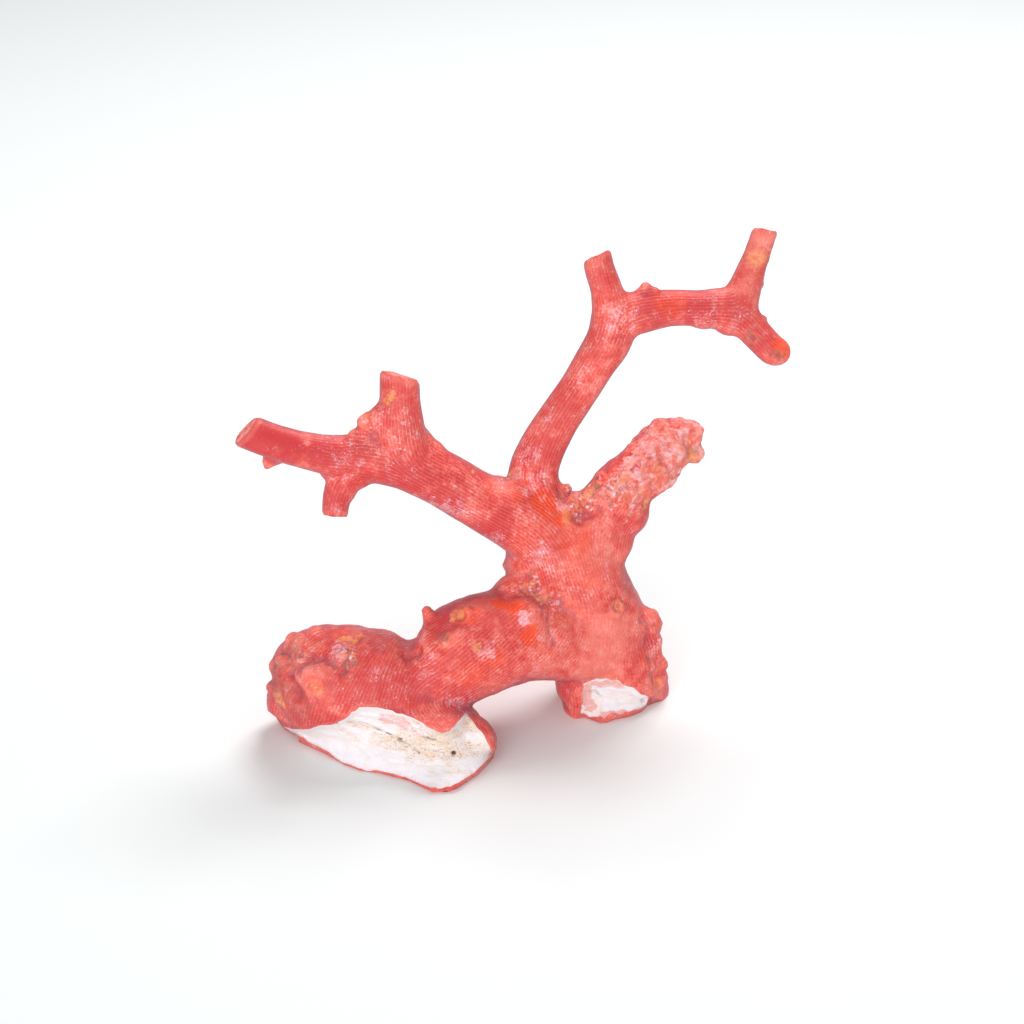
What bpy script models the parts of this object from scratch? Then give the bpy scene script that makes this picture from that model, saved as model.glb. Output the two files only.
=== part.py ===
"""A rough branch of red coral, about 110 mm wide, standing on the two places where it left its rock.

The coral is grown as one body from round limbs and lumps, cut flat and chipped where it was
broken off, and then parted at its main forks, so that each limb is a solid of its own.
Lengths in the tables are millimetres. +Z is up, +Y runs to the back, and the origin is on the
standing surface, in the middle of the trunk's foot.
"""

import bmesh
import bpy
from mathutils import Matrix, Vector

MM = 0.001

# How the coral is grown
GROWTH_VOXEL = 0.6 * MM  # grain of the body when its limbs flow together
FORK_SMOOTHING = 10  # passes that round the forks
SKIN_TRIANGLES = 7400  # facets left on the body, before it is cut
LUMP_SWELL = 0.9 * MM  # depth of the broad swellings on the thick, old parts
LUMP_SIZE = 7 * MM
LUMPY_BELOW = 30 * MM  # the swellings fade above this height
PARTING = 0.3 * MM  # gap between two limbs at a fork

# Limbs: points along the middle of each one, from its root, as (x, y, z, radius)
LIMBS = {
    "trunk": [
        (1.0, 0.0, -6.0, 10.0),
        (0.5, 0.0, 4.0, 10.2),
        (-1.5, 0.0, 13.5, 10.4),
        (-5.0, 0.0, 22.5, 10.3),
        (-8.3, 0.0, 31.3, 10.7),
        (-10.2, 0.0, 38.5, 9.4),
    ],
    "root_arm": [
        (-2.2, -3.0, 13.7, 7.8),
        (-10.2, -6.0, 16.4, 8.6),
        (-18.4, -10.0, 19.2, 9.8),
        (-26.5, -14.0, 19.4, 10.3),
        (-33.5, -17.0, 16.8, 9.9),
        (-39.5, -19.0, 13.6, 9.8),
        (-46.0, -19.5, 12.5, 12.2),
        (-53.0, -18.5, 12.0, 12.2),
        (-59.0, -15.5, 11.5, 10.9),
        (-61.5, -13.0, 10.5, 9.4),
    ],
    "base": [
        (-61.0, -13.5, 4.0, 8.6),
        (-54.0, -16.6, 4.0, 11.0),
        (-46.0, -20.5, 4.0, 12.4),
        (-39.0, -25.5, 3.5, 11.6),
        (-34.5, -30.0, 3.0, 10.2),
    ],
    "left_branch": [
        (-10.2, 0.0, 35.1, 8.2),
        (-18.4, -2.0, 41.8, 7.0),
        (-27.4, -4.0, 47.5, 5.8),
        (-34.4, -6.0, 52.9, 5.7),
        (-41.3, -7.0, 56.8, 5.5),
    ],
    "left_arm": [
        (-41.3, -7.0, 56.8, 5.5),
        (-49.1, -8.0, 58.3, 4.8),
        (-56.0, -9.0, 59.2, 4.1),
        (-61.8, -10.0, 60.9, 3.7),
        (-67.2, -11.0, 63.1, 3.6),
        (-74.5, -12.0, 66.8, 3.5),
    ],
    "left_stub": [
        (-41.3, -7.0, 56.8, 5.5),
        (-42.1, -7.0, 64.8, 4.9),
        (-42.1, -6.0, 69.7, 4.1),
        (-42.1, -5.0, 79.9, 3.9),
    ],
    "left_spur": [
        (-52.1, -9.0, 57.7, 3.6),
        (-54.6, -9.0, 51.6, 2.9),
        (-55.6, -9.0, 42.8, 2.7),
    ],
    "upper_branch": [
        (-10.2, 0.0, 36.3, 8.2),
        (-14.7, 1.0, 44.3, 6.1),
        (-15.7, 2.0, 49.9, 5.2),
        (-14.1, 3.0, 55.0, 4.8),
        (-10.7, 4.0, 61.2, 4.4),
        (-6.7, 5.0, 67.3, 4.2),
        (-3.0, 6.0, 73.4, 4.4),
        (-0.4, 7.0, 77.7, 4.7),
        (0.4, 8.0, 81.6, 4.7),
    ],
    "upper_stub": [
        (0.4, 8.0, 80.8, 4.4),
        (-1.3, 8.0, 88.0, 3.3),
        (-2.8, 8.0, 92.7, 3.1),
        (-3.8, 8.0, 99.1, 3.0),
    ],
    "upper_arm": [
        (0.4, 8.0, 81.6, 4.7),
        (6.0, 9.0, 82.5, 4.4),
        (11.7, 10.0, 83.0, 3.8),
        (17.7, 11.0, 82.6, 3.7),
        (22.2, 12.0, 82.4, 4.0),
        (24.8, 12.8, 81.8, 3.6),
        (28.2, 12.0, 78.0, 3.4),
        (31.0, 11.0, 75.2, 3.3),
        (33.4, 10.0, 73.0, 3.1),
    ],
    "high_prong": [
        (25.5, 13.0, 81.9, 4.0),
        (27.2, 14.0, 87.0, 3.3),
        (28.8, 15.0, 91.4, 2.8),
        (30.1, 16.0, 95.3, 2.7),
        (31.6, 17.0, 100.2, 2.7),
    ],
    "stump": [
        (-6.1, 0.0, 35.1, 8.2),
        (-1.0, 2.0, 42.1, 6.3),
        (3.2, 4.0, 47.0, 5.7),
        (7.4, 6.0, 49.6, 6.1),
        (11.0, 8.0, 53.3, 5.6),
        (13.5, 9.0, 54.2, 4.9),
    ],
}

# Lumps that swell out of the limbs, as (x, y, z, radius)
ROOT_LUMPS = [
    (-61.3, -14.0, 14.4, 7.4),
    (-57.0, -15.5, 15.8, 8.2),
    (-53.5, -17.0, 15.8, 8.9),
    (-45.0, -19.0, 16.0, 8.5),
    (-63.0, -13.5, 6.5, 7.2),
    (-34.5, -30.0, 3.0, 9.9),
    (-30.5, -26.5, 3.0, 7.6),
    (-32.5, -21.0, 2.0, 7.4),
    (-14.0, -1.0, 31.5, 7.6),
    (-13.8, -3.5, 23.5, 7.8),
    (-1.5, 1.5, 36.0, 6.6),
    (2.3, 3.0, 41.5, 5.9),
    (-3.2, -5.0, 1.0, 7.0),
    (-4.8, -4.0, 6.0, 6.8),
    (3.0, 3.0, 1.0, 9.6),
]
SMALL_LUMPS = [
    (33.3, 10.0, 73.6, 3.1),
    (23.6, 12.0, 80.7, 4.1),
    (18.5, 11.0, 82.0, 3.9),
    (-50.2, -8.5, 54.4, 2.8),
    (-45.6, -7.0, 66.8, 2.6),
    (-38.2, -6.0, 61.4, 3.2),
    (-7.8, 2.0, 43.7, 2.6),
    (-48.2, -7.5, 65.6, 2.2),
    (-49.6, -8.0, 62.8, 2.2),
    (-68.0, -10.5, 58.4, 1.8),
    (-37.0, -15.0, 25.6, 2.2),
    (6.5, 9.0, 87.0, 1.6),
    (9.0, 0.0, 16.3, 2.5),
    (8.6, 0.0, 11.2, 3.1),
    (9.3, 0.5, 4.5, 3.4),
    (10.5, 8.0, 56.5, 3.0),
    (16.2, 9.5, 56.0, 2.6),
    (16.4, 9.0, 52.2, 2.6),
]

# Sawn or snapped ends: a point of the cut and the direction that is taken away
END_CUTS = [
    ((-72.3, -11.6, 65.6), (-0.73, 0.0, 0.68)),
    ((-42.1, -6.0, 74.9), (0.27, 0.3, 0.90)),
    ((-55.4, -9.0, 45.9), (-0.1, -0.4, -0.9)),
    ((-3.0, 8.0, 94.9), (-0.4, 0.35, 0.82)),
    ((31.0, 16.5, 97.2), (0.15, 0.35, 0.92)),
]
END_CUT_REACH = 7 * MM

# Broken hollows at the front of the base: middle, half sizes, and the direction of the long side
CHIPS = [
    ((-43.5, -34.5, 7.0), (22.0, 6.8, 5.5), (0.92, -0.4, -0.04)),
    ((1.5, -11.0, 4.4), (7.0, 3.9, 3.2), (1.0, 0.1, 0.0)),
]
CHIP_TILT = Vector((0.0, -1.0, 0.25))  # the way a hollow faces: forward and a little up

# Main forks: the limb, a point of its root, the way it grows there, and the half width of the cut
FORKS = {
    "root_arm": ((-17.7, -9.5, 18.9), (-0.8, -0.6, 0.0), 14.0),
    "left_branch": ((-24.5, -3.4, 46.0), (-0.85, -0.2, 0.45), 8.0),
    "upper_branch": ((-15.3, 2.4, 52.0), (0.1, 0.2, 0.97), 7.5),
    "stump": ((1.4, 3.1, 45.4), (0.52, 0.25, 0.82), 9.5),
    "left_stub": ((-42.3, -5.9, 68.3), (0.2, 0.4, 0.88), 7.5),
    "left_arm": ((-50.5, -8.2, 58.4), (-0.95, -0.15, -0.28), 8.5),
    "upper_stub": ((-0.8, 8.0, 86.0), (-0.25, 0.0, 1.0), 5.0),
    "upper_arm": ((5.0, 8.8, 82.4), (1.0, 0.15, 0.1), 6.5),
    "high_prong": ((27.0, 13.5, 86.0), (0.35, 0.2, 0.9), 5.0),
}
# A point inside each piece, by which it is told from the others
PIECES = {
    "trunk": (-3.0, 0.0, 18.0),
    "root_arm": (-30.0, -16.0, 18.0),
    "left_branch": (-30.0, -5.0, 50.0),
    "left_arm": (-58.0, -9.5, 59.8),
    "left_stub": (-42.0, -6.0, 69.0),
    "upper_branch": (-10.7, 4.0, 61.2),
    "upper_stub": (-2.0, 8.0, 90.0),
    "upper_arm": (14.0, 10.5, 82.8),
    "high_prong": (29.0, 15.0, 92.0),
    "stump": (9.0, 7.0, 51.5),
}
CORAL_RED = (0.72, 0.11, 0.09, 1.0)
CORAL_ROUGHNESS = 0.45


def clear_scene():
    """Takes the start-up objects away."""
    for obj in list(bpy.data.objects):
        bpy.data.objects.remove(obj, do_unlink=True)


def new_collection(name):
    """A collection of that name, linked to the scene."""
    collection = bpy.data.collections.new(name)
    bpy.context.scene.collection.children.link(collection)
    return collection


def limb_curve(name, points, collection):
    """A round limb along its points, as a curve with a radius at each of them."""
    curve = bpy.data.curves.new(name, "CURVE")
    curve.dimensions = "3D"
    curve.bevel_depth = MM
    curve.bevel_resolution = 6
    curve.resolution_u = 6
    curve.use_fill_caps = True
    spline = curve.splines.new("BEZIER")
    spline.radius_interpolation = "CARDINAL"
    spline.bezier_points.add(len(points) - 1)
    for knot, (x, y, z, radius) in zip(spline.bezier_points, points):
        knot.co = Vector((x, y, z)) * MM
        knot.handle_left_type = "AUTO"
        knot.handle_right_type = "AUTO"
        knot.radius = radius
    obj = bpy.data.objects.new(name, curve)
    collection.objects.link(obj)
    return obj


def closed_mesh_of(obj):
    """A closed mesh of a curve: its caps are welded to its sides."""
    bpy.context.view_layer.update()
    graph = bpy.context.evaluated_depsgraph_get()
    mesh = bpy.data.meshes.new_from_object(obj.evaluated_get(graph))
    bm = bmesh.new()
    bm.from_mesh(mesh)
    bmesh.ops.remove_doubles(bm, verts=bm.verts, dist=0.01 * MM)
    bm.to_mesh(mesh)
    bm.free()
    return mesh


def raw_growth(collection):
    """All limbs and lumps as overlapping closed shells in one mesh."""
    bm = bmesh.new()
    for name, points in LIMBS.items():
        curve = limb_curve(name + "_core", points, collection)
        mesh = closed_mesh_of(curve)
        bm.from_mesh(mesh)
        bpy.data.objects.remove(curve, do_unlink=True)
        bpy.data.meshes.remove(mesh)
    for x, y, z, radius in ROOT_LUMPS + SMALL_LUMPS:
        place = Matrix.Translation(Vector((x, y, z)) * MM)
        bmesh.ops.create_uvsphere(bm, u_segments=24, v_segments=12, radius=radius * MM, matrix=place)
    mesh = bpy.data.meshes.new("coral_growth")
    bm.to_mesh(mesh)
    bm.free()
    body = bpy.data.objects.new("coral_body", mesh)
    collection.objects.link(body)
    return body


def add_modifier(obj, kind, name, **settings):
    """A modifier with its settings."""
    modifier = obj.modifiers.new(name, kind)
    for key, value in settings.items():
        setattr(modifier, key, value)
    return modifier


def freeze(obj):
    """Puts the result of an object's modifiers into its mesh."""
    bpy.context.view_layer.update()
    graph = bpy.context.evaluated_depsgraph_get()
    mesh = bpy.data.meshes.new_from_object(obj.evaluated_get(graph))
    obj.modifiers.clear()
    obj.data = mesh


def lumpy_weights(body):
    """A vertex group that is full on the old wood near the base and fades on the young limbs."""
    group = body.vertex_groups.new(name="old_growth")
    for vertex in body.data.vertices:
        weight = min(1.0, max(0.0, 1.0 - (vertex.co.z - LUMPY_BELOW) / (8 * MM)))
        group.add([vertex.index], weight, "REPLACE")
    return group.name


def grow(body):
    """Lets the limbs flow into one body, with round forks and a lumpy base."""
    add_modifier(body, "REMESH", "flow together", mode="VOXEL", voxel_size=GROWTH_VOXEL)
    add_modifier(body, "SMOOTH", "round the forks", factor=0.5, iterations=FORK_SMOOTHING)
    freeze(body)
    clouds = bpy.data.textures.new("swellings", "CLOUDS")
    clouds.noise_scale = LUMP_SIZE
    clouds.noise_depth = 1
    add_modifier(
        body, "DISPLACE", "swellings", texture=clouds, texture_coords="LOCAL",
        strength=LUMP_SWELL, mid_level=0.5, vertex_group=lumpy_weights(body),
    )
    freeze(body)
    triangles = sum(len(face.vertices) - 2 for face in body.data.polygons)
    add_modifier(body, "DECIMATE", "facets", ratio=SKIN_TRIANGLES / triangles)
    freeze(body)


def cutter(name, bm, place, collection):
    """A hidden tool that a Boolean uses."""
    bmesh.ops.transform(bm, matrix=place, verts=bm.verts)
    bmesh.ops.recalc_face_normals(bm, faces=bm.faces)
    mesh = bpy.data.meshes.new(name)
    bm.to_mesh(mesh)
    bm.free()
    obj = bpy.data.objects.new(name, mesh)
    obj.hide_render = True
    obj.display_type = "WIRE"
    collection.objects.link(obj)
    return obj


def facing(point, direction):
    """A matrix that puts a tool's +Z along a direction, at a point in millimetres."""
    turn = Vector(direction).to_track_quat("Z", "Y").to_matrix().to_4x4()
    return Matrix.Translation(Vector(point) * MM) @ turn


def box(size, low_z, high_z):
    """A box mesh, square on X and Y, from low_z to high_z."""
    bm = bmesh.new()
    stretch = Matrix.Diagonal((size, size, high_z - low_z, 1.0))
    bmesh.ops.create_cube(bm, size=1.0, matrix=stretch)
    bmesh.ops.translate(bm, verts=bm.verts, vec=(0.0, 0.0, (low_z + high_z) / 2))
    return bm


def floor_cutter(collection):
    """Everything under the standing surface."""
    return cutter("cut_ground", box(400 * MM, -60 * MM, 0.0), Matrix.Identity(4), collection)


def end_cutter(index, point, direction, collection):
    """The stretch of a limb beyond its cut end."""
    bm = box(2 * END_CUT_REACH, 0.0, 2 * END_CUT_REACH)
    return cutter(f"cut_end_{index}", bm, facing(point, direction), collection)


def chip_cutter(index, middle, half_sizes, along, collection):
    """A long round hollow, broken out of the front of the base."""
    long_side = Vector(along).normalized()
    out = (CHIP_TILT - CHIP_TILT.project(long_side)).normalized()
    down = out.cross(long_side)
    axes = Matrix((long_side, down, out)).transposed().to_4x4()
    bm = bmesh.new()
    bmesh.ops.create_uvsphere(bm, u_segments=28, v_segments=14, radius=1.0)
    stretch = Matrix.Diagonal((*half_sizes, 1.0)) @ Matrix.Rotation(0.2, 4, "X")
    bmesh.ops.transform(bm, matrix=Matrix.Scale(MM, 4) @ stretch, verts=bm.verts)
    return cutter(f"cut_chip_{index}", bm, Matrix.Translation(Vector(middle) * MM) @ axes, collection)


def fork_cutter(name, point, direction, half_width, collection):
    """A thin disc across the root of a limb."""
    bm = bmesh.new()
    radius = half_width * MM
    bmesh.ops.create_cone(
        bm, cap_ends=True, segments=32, radius1=radius, radius2=radius, depth=PARTING
    )
    return cutter(f"cut_fork_{name}", bm, facing(point, direction), collection)


def cut(body, cutters):
    """Cuts the body with each tool in turn."""
    for tool in cutters:
        add_modifier(body, "BOOLEAN", tool.name, operation="DIFFERENCE", object=tool)
    freeze(body)


def parts_of(bm):
    """The separate bodies of a mesh, each as a set of its faces."""
    unseen = set(bm.faces)
    while unseen:
        part = set()
        front = [unseen.pop()]
        while front:
            face = front.pop()
            part.add(face)
            for edge in face.edges:
                for other in edge.link_faces:
                    if other in unseen:
                        unseen.remove(other)
                        front.append(other)
        yield part


def part_at(parts, point):
    """The body whose surface is nearest to a point in millimetres."""
    place = Vector(point) * MM
    return min(parts, key=lambda part: min((f.calc_center_median() - place).length for f in part))


def coral_material():
    """Red coral, worn to a soft gloss."""
    material = bpy.data.materials.new("red_coral")
    material.use_nodes = True
    shader = material.node_tree.nodes["Principled BSDF"]
    shader.inputs["Base Color"].default_value = CORAL_RED
    shader.inputs["Roughness"].default_value = CORAL_ROUGHNESS
    shader.inputs["Metallic"].default_value = 0.0
    return material


def part_out(body, collection):
    """Makes one named object of each limb, and removes the whole body."""
    material = coral_material()
    whole = bmesh.new()
    whole.from_mesh(body.data)
    parts = list(parts_of(whole))
    found = {name: part_at(parts, point) for name, point in PIECES.items()}
    if len(parts) != len(PIECES) or len({id(part) for part in found.values()}) != len(PIECES):
        raise RuntimeError(f"the forks part the coral into {len(parts)} bodies, not {len(PIECES)}")
    for name, part in found.items():
        limb = whole.copy()
        limb.faces.ensure_lookup_table()
        kept = {face.index for face in part}
        others = [face for face in limb.faces if face.index not in kept]
        bmesh.ops.delete(limb, geom=others, context="FACES")
        mesh = bpy.data.meshes.new(name)
        limb.to_mesh(mesh)
        limb.free()
        mesh.materials.clear()
        mesh.materials.append(material)
        mesh.shade_smooth()
        mesh.set_sharp_from_angle(angle=0.6)
        collection.objects.link(bpy.data.objects.new(name, mesh))
    whole.free()
    bpy.data.objects.remove(body, do_unlink=True)


def main():
    clear_scene()
    coral = new_collection("red_coral_branch")
    tools = new_collection("cutters")
    body = raw_growth(tools)
    grow(body)
    cutters = [floor_cutter(tools)]
    cutters += [end_cutter(i, *end, tools) for i, end in enumerate(END_CUTS)]
    cutters += [chip_cutter(i, *chip, tools) for i, chip in enumerate(CHIPS)]
    cutters += [fork_cutter(name, *fork, tools) for name, fork in FORKS.items()]
    cut(body, cutters)
    part_out(body, coral)


main()
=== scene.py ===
"""A rough branch of red coral, standing on the two flat cuts where it left its rock.

The coral is grown as one body: round limbs and lumps flow together, the limbs' ends are cut off,
the front of the base is broken open, and fine grooves run along every limb. The grown body is then
parted at its main forks, and each part stands for one solid of the frame.
Lengths in the tables are millimetres in the frame's own axes. Meshes are in metres.
"""

import math

import bmesh
import bpy
import numpy as np
from mathutils import Matrix, Vector
from mathutils.bvhtree import BVHTree
from mathutils.kdtree import KDTree


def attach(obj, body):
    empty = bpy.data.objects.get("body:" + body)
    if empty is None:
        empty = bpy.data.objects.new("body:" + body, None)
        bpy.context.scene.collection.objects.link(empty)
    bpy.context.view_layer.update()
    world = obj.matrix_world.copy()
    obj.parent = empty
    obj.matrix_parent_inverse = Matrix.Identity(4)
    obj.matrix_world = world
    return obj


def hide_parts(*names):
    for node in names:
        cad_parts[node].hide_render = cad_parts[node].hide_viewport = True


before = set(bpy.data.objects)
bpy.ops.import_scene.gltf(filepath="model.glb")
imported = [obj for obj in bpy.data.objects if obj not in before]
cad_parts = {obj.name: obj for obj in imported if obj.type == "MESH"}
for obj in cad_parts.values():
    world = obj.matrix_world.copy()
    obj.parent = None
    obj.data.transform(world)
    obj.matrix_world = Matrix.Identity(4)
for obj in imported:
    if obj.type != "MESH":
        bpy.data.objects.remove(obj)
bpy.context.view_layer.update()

bl_info = {
    "name": "Red coral branch",
    "version": (1, 0, 0),
    "blender": (4, 5, 0),
    "location": "View3D > Sidebar > Coral",
    "description": "Grows a grooved branch of raw red coral with broken white faces at its base",
    "category": "Add Mesh",
}

MM = 0.001
WHOLE = "coral_whole"
SKIN, CORE = 0, 1  # the numbers of these finishes on every mesh; that of the cut ends is 2

# Limbs: points along the middle of each one, as (x, y, z, radius). Growth runs along each list,
# except where a limb leads down to the rock.
LIMBS = {
    "trunk": [
        (1.0, 0.0, -6.0, 10.0), (0.5, 0.0, 4.0, 10.2), (-1.5, 0.0, 13.5, 10.4),
        (-5.0, 0.0, 22.5, 10.3), (-8.3, 0.0, 31.3, 10.7), (-10.2, 0.0, 38.5, 9.4),
    ],
    "root_arm": [
        (-2.2, -3.0, 13.7, 7.8), (-10.2, -6.0, 16.4, 8.6), (-18.4, -10.0, 19.2, 9.8),
        (-26.5, -14.0, 19.4, 10.3), (-33.0, -17.0, 16.9, 9.7), (-39.5, -19.0, 13.0, 8.8),
        (-46.0, -19.5, 12.5, 12.2), (-53.0, -18.5, 12.0, 12.2), (-59.0, -15.5, 11.5, 10.9),
        (-61.5, -13.0, 10.5, 9.4),
    ],
    "base": [
        (-61.0, -13.5, 4.0, 8.6), (-54.0, -16.6, 4.0, 11.0), (-46.0, -20.5, 4.0, 12.4),
        (-39.0, -25.5, 3.5, 11.6), (-34.5, -30.0, 3.0, 10.2),
    ],
    "left_branch": [
        (-10.2, 0.0, 35.1, 8.2), (-18.4, -2.0, 41.8, 7.0), (-27.4, -4.0, 47.5, 5.8),
        (-34.4, -6.0, 52.9, 5.7), (-41.3, -7.0, 56.8, 5.5),
    ],
    "left_arm": [
        (-41.3, -7.0, 56.8, 5.5), (-49.1, -8.0, 58.3, 4.8), (-56.0, -9.0, 59.2, 4.1),
        (-61.8, -10.0, 60.9, 3.7), (-67.2, -11.0, 63.1, 3.6), (-74.5, -12.0, 66.8, 3.5),
    ],
    "left_stub": [
        (-41.3, -7.0, 56.8, 5.5), (-42.1, -7.0, 64.8, 4.9), (-42.1, -6.0, 69.7, 4.1),
        (-42.1, -5.0, 79.9, 3.9),
    ],
    "left_spur": [
        (-52.1, -9.0, 57.7, 3.6), (-54.6, -9.0, 51.6, 2.9), (-55.6, -9.0, 42.8, 2.7),
    ],
    "upper_branch": [
        (-10.2, 0.0, 36.3, 8.2), (-14.7, 1.0, 44.3, 6.1), (-15.7, 2.0, 49.9, 5.2),
        (-14.1, 3.0, 55.0, 4.8), (-10.7, 4.0, 61.2, 4.4), (-6.7, 5.0, 67.3, 4.2),
        (-3.0, 6.0, 73.4, 4.4), (-0.4, 7.0, 77.7, 4.7), (0.4, 8.0, 81.6, 4.7),
    ],
    "upper_stub": [
        (0.4, 8.0, 80.8, 4.4), (-1.3, 8.0, 88.0, 3.3), (-2.8, 8.0, 92.7, 3.1), (-3.8, 8.0, 99.1, 3.0),
    ],
    "upper_arm": [
        (0.4, 8.0, 81.6, 4.7), (6.0, 9.0, 82.5, 4.4), (11.7, 10.0, 83.0, 3.8),
        (17.7, 11.0, 82.6, 3.7), (22.2, 12.0, 82.4, 4.0), (24.8, 12.8, 81.8, 3.6),
        (28.2, 12.0, 78.0, 3.4), (31.0, 11.0, 75.2, 3.3), (33.4, 10.0, 73.0, 3.1),
    ],
    "high_prong": [
        (25.5, 13.0, 81.9, 4.0), (27.2, 14.0, 87.0, 3.3), (28.8, 15.0, 91.4, 2.8),
        (30.1, 16.0, 95.3, 2.7), (31.6, 17.0, 100.2, 2.7),
    ],
    "stump": [
        (-6.1, 0.0, 35.1, 8.2), (-1.0, 2.0, 42.1, 6.3), (3.2, 4.0, 47.0, 5.7), (7.4, 6.0, 49.6, 6.1),
        (11.0, 8.0, 53.3, 5.6), (13.5, 9.0, 54.2, 4.9),
    ],
}
DOWNWARD = ("root_arm", "base")  # these limbs were listed from the trunk down to the rock
STATION_GAP = 2.0  # from one place on a limb to the next, where its direction is read
WAY_PASSES = 16  # passes that smooth the growing directions
WAVE_PASSES = 400  # passes in which the grooves settle
YOUNG_FROM = (28.0, 40.0)  # between these heights, old lumpy wood gives way to young limbs
LOBE_FROM = (34.0, 44.0)  # between these distances to the left, the arm gives way to the lobe
LOBE_TOP = (34.0, 40.0)  # the heights between which the lobe ends
LOBE_NECK = (-30.0, -12.0, 34.0)  # the grooves of the lobe rise to this point

# Lumps that swell out of the limbs, as (x, y, z, radius)
LUMPS = [
    (-61.3, -14.0, 14.4, 7.4), (-57.0, -15.5, 15.8, 8.2), (-53.5, -17.0, 15.8, 8.9),
    (-46.0, -19.0, 15.8, 8.3), (-63.0, -13.5, 6.5, 7.2), (-34.5, -30.0, 3.0, 9.9),
    (-30.5, -26.5, 3.0, 7.6), (-32.5, -21.0, 2.0, 7.4), (-14.0, -1.0, 31.5, 7.6),
    (-13.8, -3.5, 23.5, 7.8), (-1.5, 1.5, 36.0, 6.6), (2.3, 3.0, 41.5, 5.9), (-2.6, -4.8, 1.0, 6.8),
    (-4.4, -4.0, 6.0, 6.8), (3.0, 3.0, 1.0, 9.6), (33.3, 10.0, 73.6, 3.1), (23.6, 12.0, 80.7, 4.1),
    (18.5, 11.0, 82.0, 3.9), (23.8, 11.6, 79.2, 2.9), (25.5, 12.2, 84.6, 2.6),
    (-50.4, -8.5, 54.4, 2.7), (-52.6, -8.8, 50.8, 1.8), (-45.6, -7.0, 66.8, 2.6),
    (-38.4, -6.0, 61.0, 2.9), (-36.3, -6.0, 57.9, 3.4), (-7.8, 2.0, 43.7, 2.6),
    (-48.2, -7.5, 65.6, 2.2), (-49.6, -8.0, 62.8, 2.2), (7.5, -0.6, 17.6, 3.3),
    (8.1, -0.4, 13.2, 3.1), (8.6, 0.0, 9.6, 3.1), (9.3, 0.5, 4.5, 3.4), (10.5, 8.0, 56.5, 3.0),
    (16.2, 9.5, 56.0, 2.6), (13.6, 9.2, 56.4, 2.8), (16.4, 9.0, 52.2, 2.6), (-58.4, -24.6, 17.2, 4.6),
    (-19.5, -6.5, 27.0, 4.6), (-30.5, -21.0, 24.0, 3.6), (-18.0, -14.5, 26.0, 4.2),
]

# Small knobs and crumbs that keep their shape, as (x, y, z, radius)
KNOBS = [
    (-36.1, -15.0, 25.2, 1.8), (-36.6, -15.2, 26.8, 1.25), (-37.1, -15.3, 27.9, 0.95),
    (-64.0, -15.0, 20.9, 1.7), (-62.6, -16.5, 21.6, 1.5), (-59.2, -16.0, 22.4, 2.2),
    (-55.6, -16.0, 22.9, 1.8), (-51.3, -18.0, 23.2, 1.7), (-48.6, -17.5, 23.3, 1.3),
    (-45.0, -17.0, 21.6, 1.6), (-67.6, -15.0, 15.0, 1.6), (-68.6, -15.5, 10.5, 1.5),
    (-66.6, -17.5, 18.0, 1.2), (-60.2, -26.6, 19.9, 1.5), (-59.6, -27.4, 16.0, 1.6),
    (-54.6, -24.5, 22.2, 1.0), (6.6, 9.0, 87.8, 1.2), (8.2, 9.0, 86.6, 1.4), (5.4, 9.0, 86.4, 1.2),
    (-68.0, -10.5, 58.6, 1.5), (-68.4, -10.5, 57.4, 0.8), (-66.4, -10.5, 58.6, 1.0),
    (-57.0, -9.0, 55.1, 1.1), (10.6, 7.5, 58.2, 1.5), (17.3, 8.5, 56.2, 1.5), (17.4, 8.5, 51.8, 1.5),
    (13.6, 7.0, 49.6, 1.2), (-2.0, 2.6, 49.4, 1.1), (-5.4, -0.6, 46.6, 1.1), (-3.6, 0.8, 46.9, 0.9),
    (-7.6, -1.8, 46.2, 1.0), (-2.8, -1.6, 42.6, 2.3), (-6.8, -3.2, 44.6, 1.0),
    (-4.9, -2.9, 44.2, 0.8), (-33.4, -22.4, 25.0, 1.1), (-29.0, -17.8, 29.0, 1.0),
    (-51.4, -8.9, 63.6, 1.2), (-49.0, -8.4, 66.0, 1.6), (-21.4, -9.0, 29.6, 1.2),
    (-14.0, -8.6, 39.7, 0.5), (30.9, 13.5, 79.4, 0.8), (30.2, 14.6, 86.4, 0.8),
    (8.8, -1.0, 19.4, 1.5), (10.9, -0.6, 8.0, 1.7), (-8.9, 1.0, 47.6, 0.9), (-16.0, -12.6, 32.2, 0.9),
]

# Cut ends: a point of the cut and the direction that is taken away
END_CUTS = [
    ((-72.3, -11.6, 65.6), (-0.73, 0.0, 0.68)),
    ((-42.1, -6.0, 74.9), (0.27, 0.3, 0.90)),
    ((-55.4, -9.0, 45.9), (-0.1, -0.4, -0.9)),
    ((-3.0, 8.0, 94.9), (-0.4, 0.35, 0.82)),
    ((31.0, 16.5, 97.2), (0.15, 0.35, 0.92)),
]

RIM_WEAR = 0.9  # how far down from its rim a cut end is worn
RIM_REACH = 9.0  # how far from the middle of a cut its rim can lie

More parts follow.
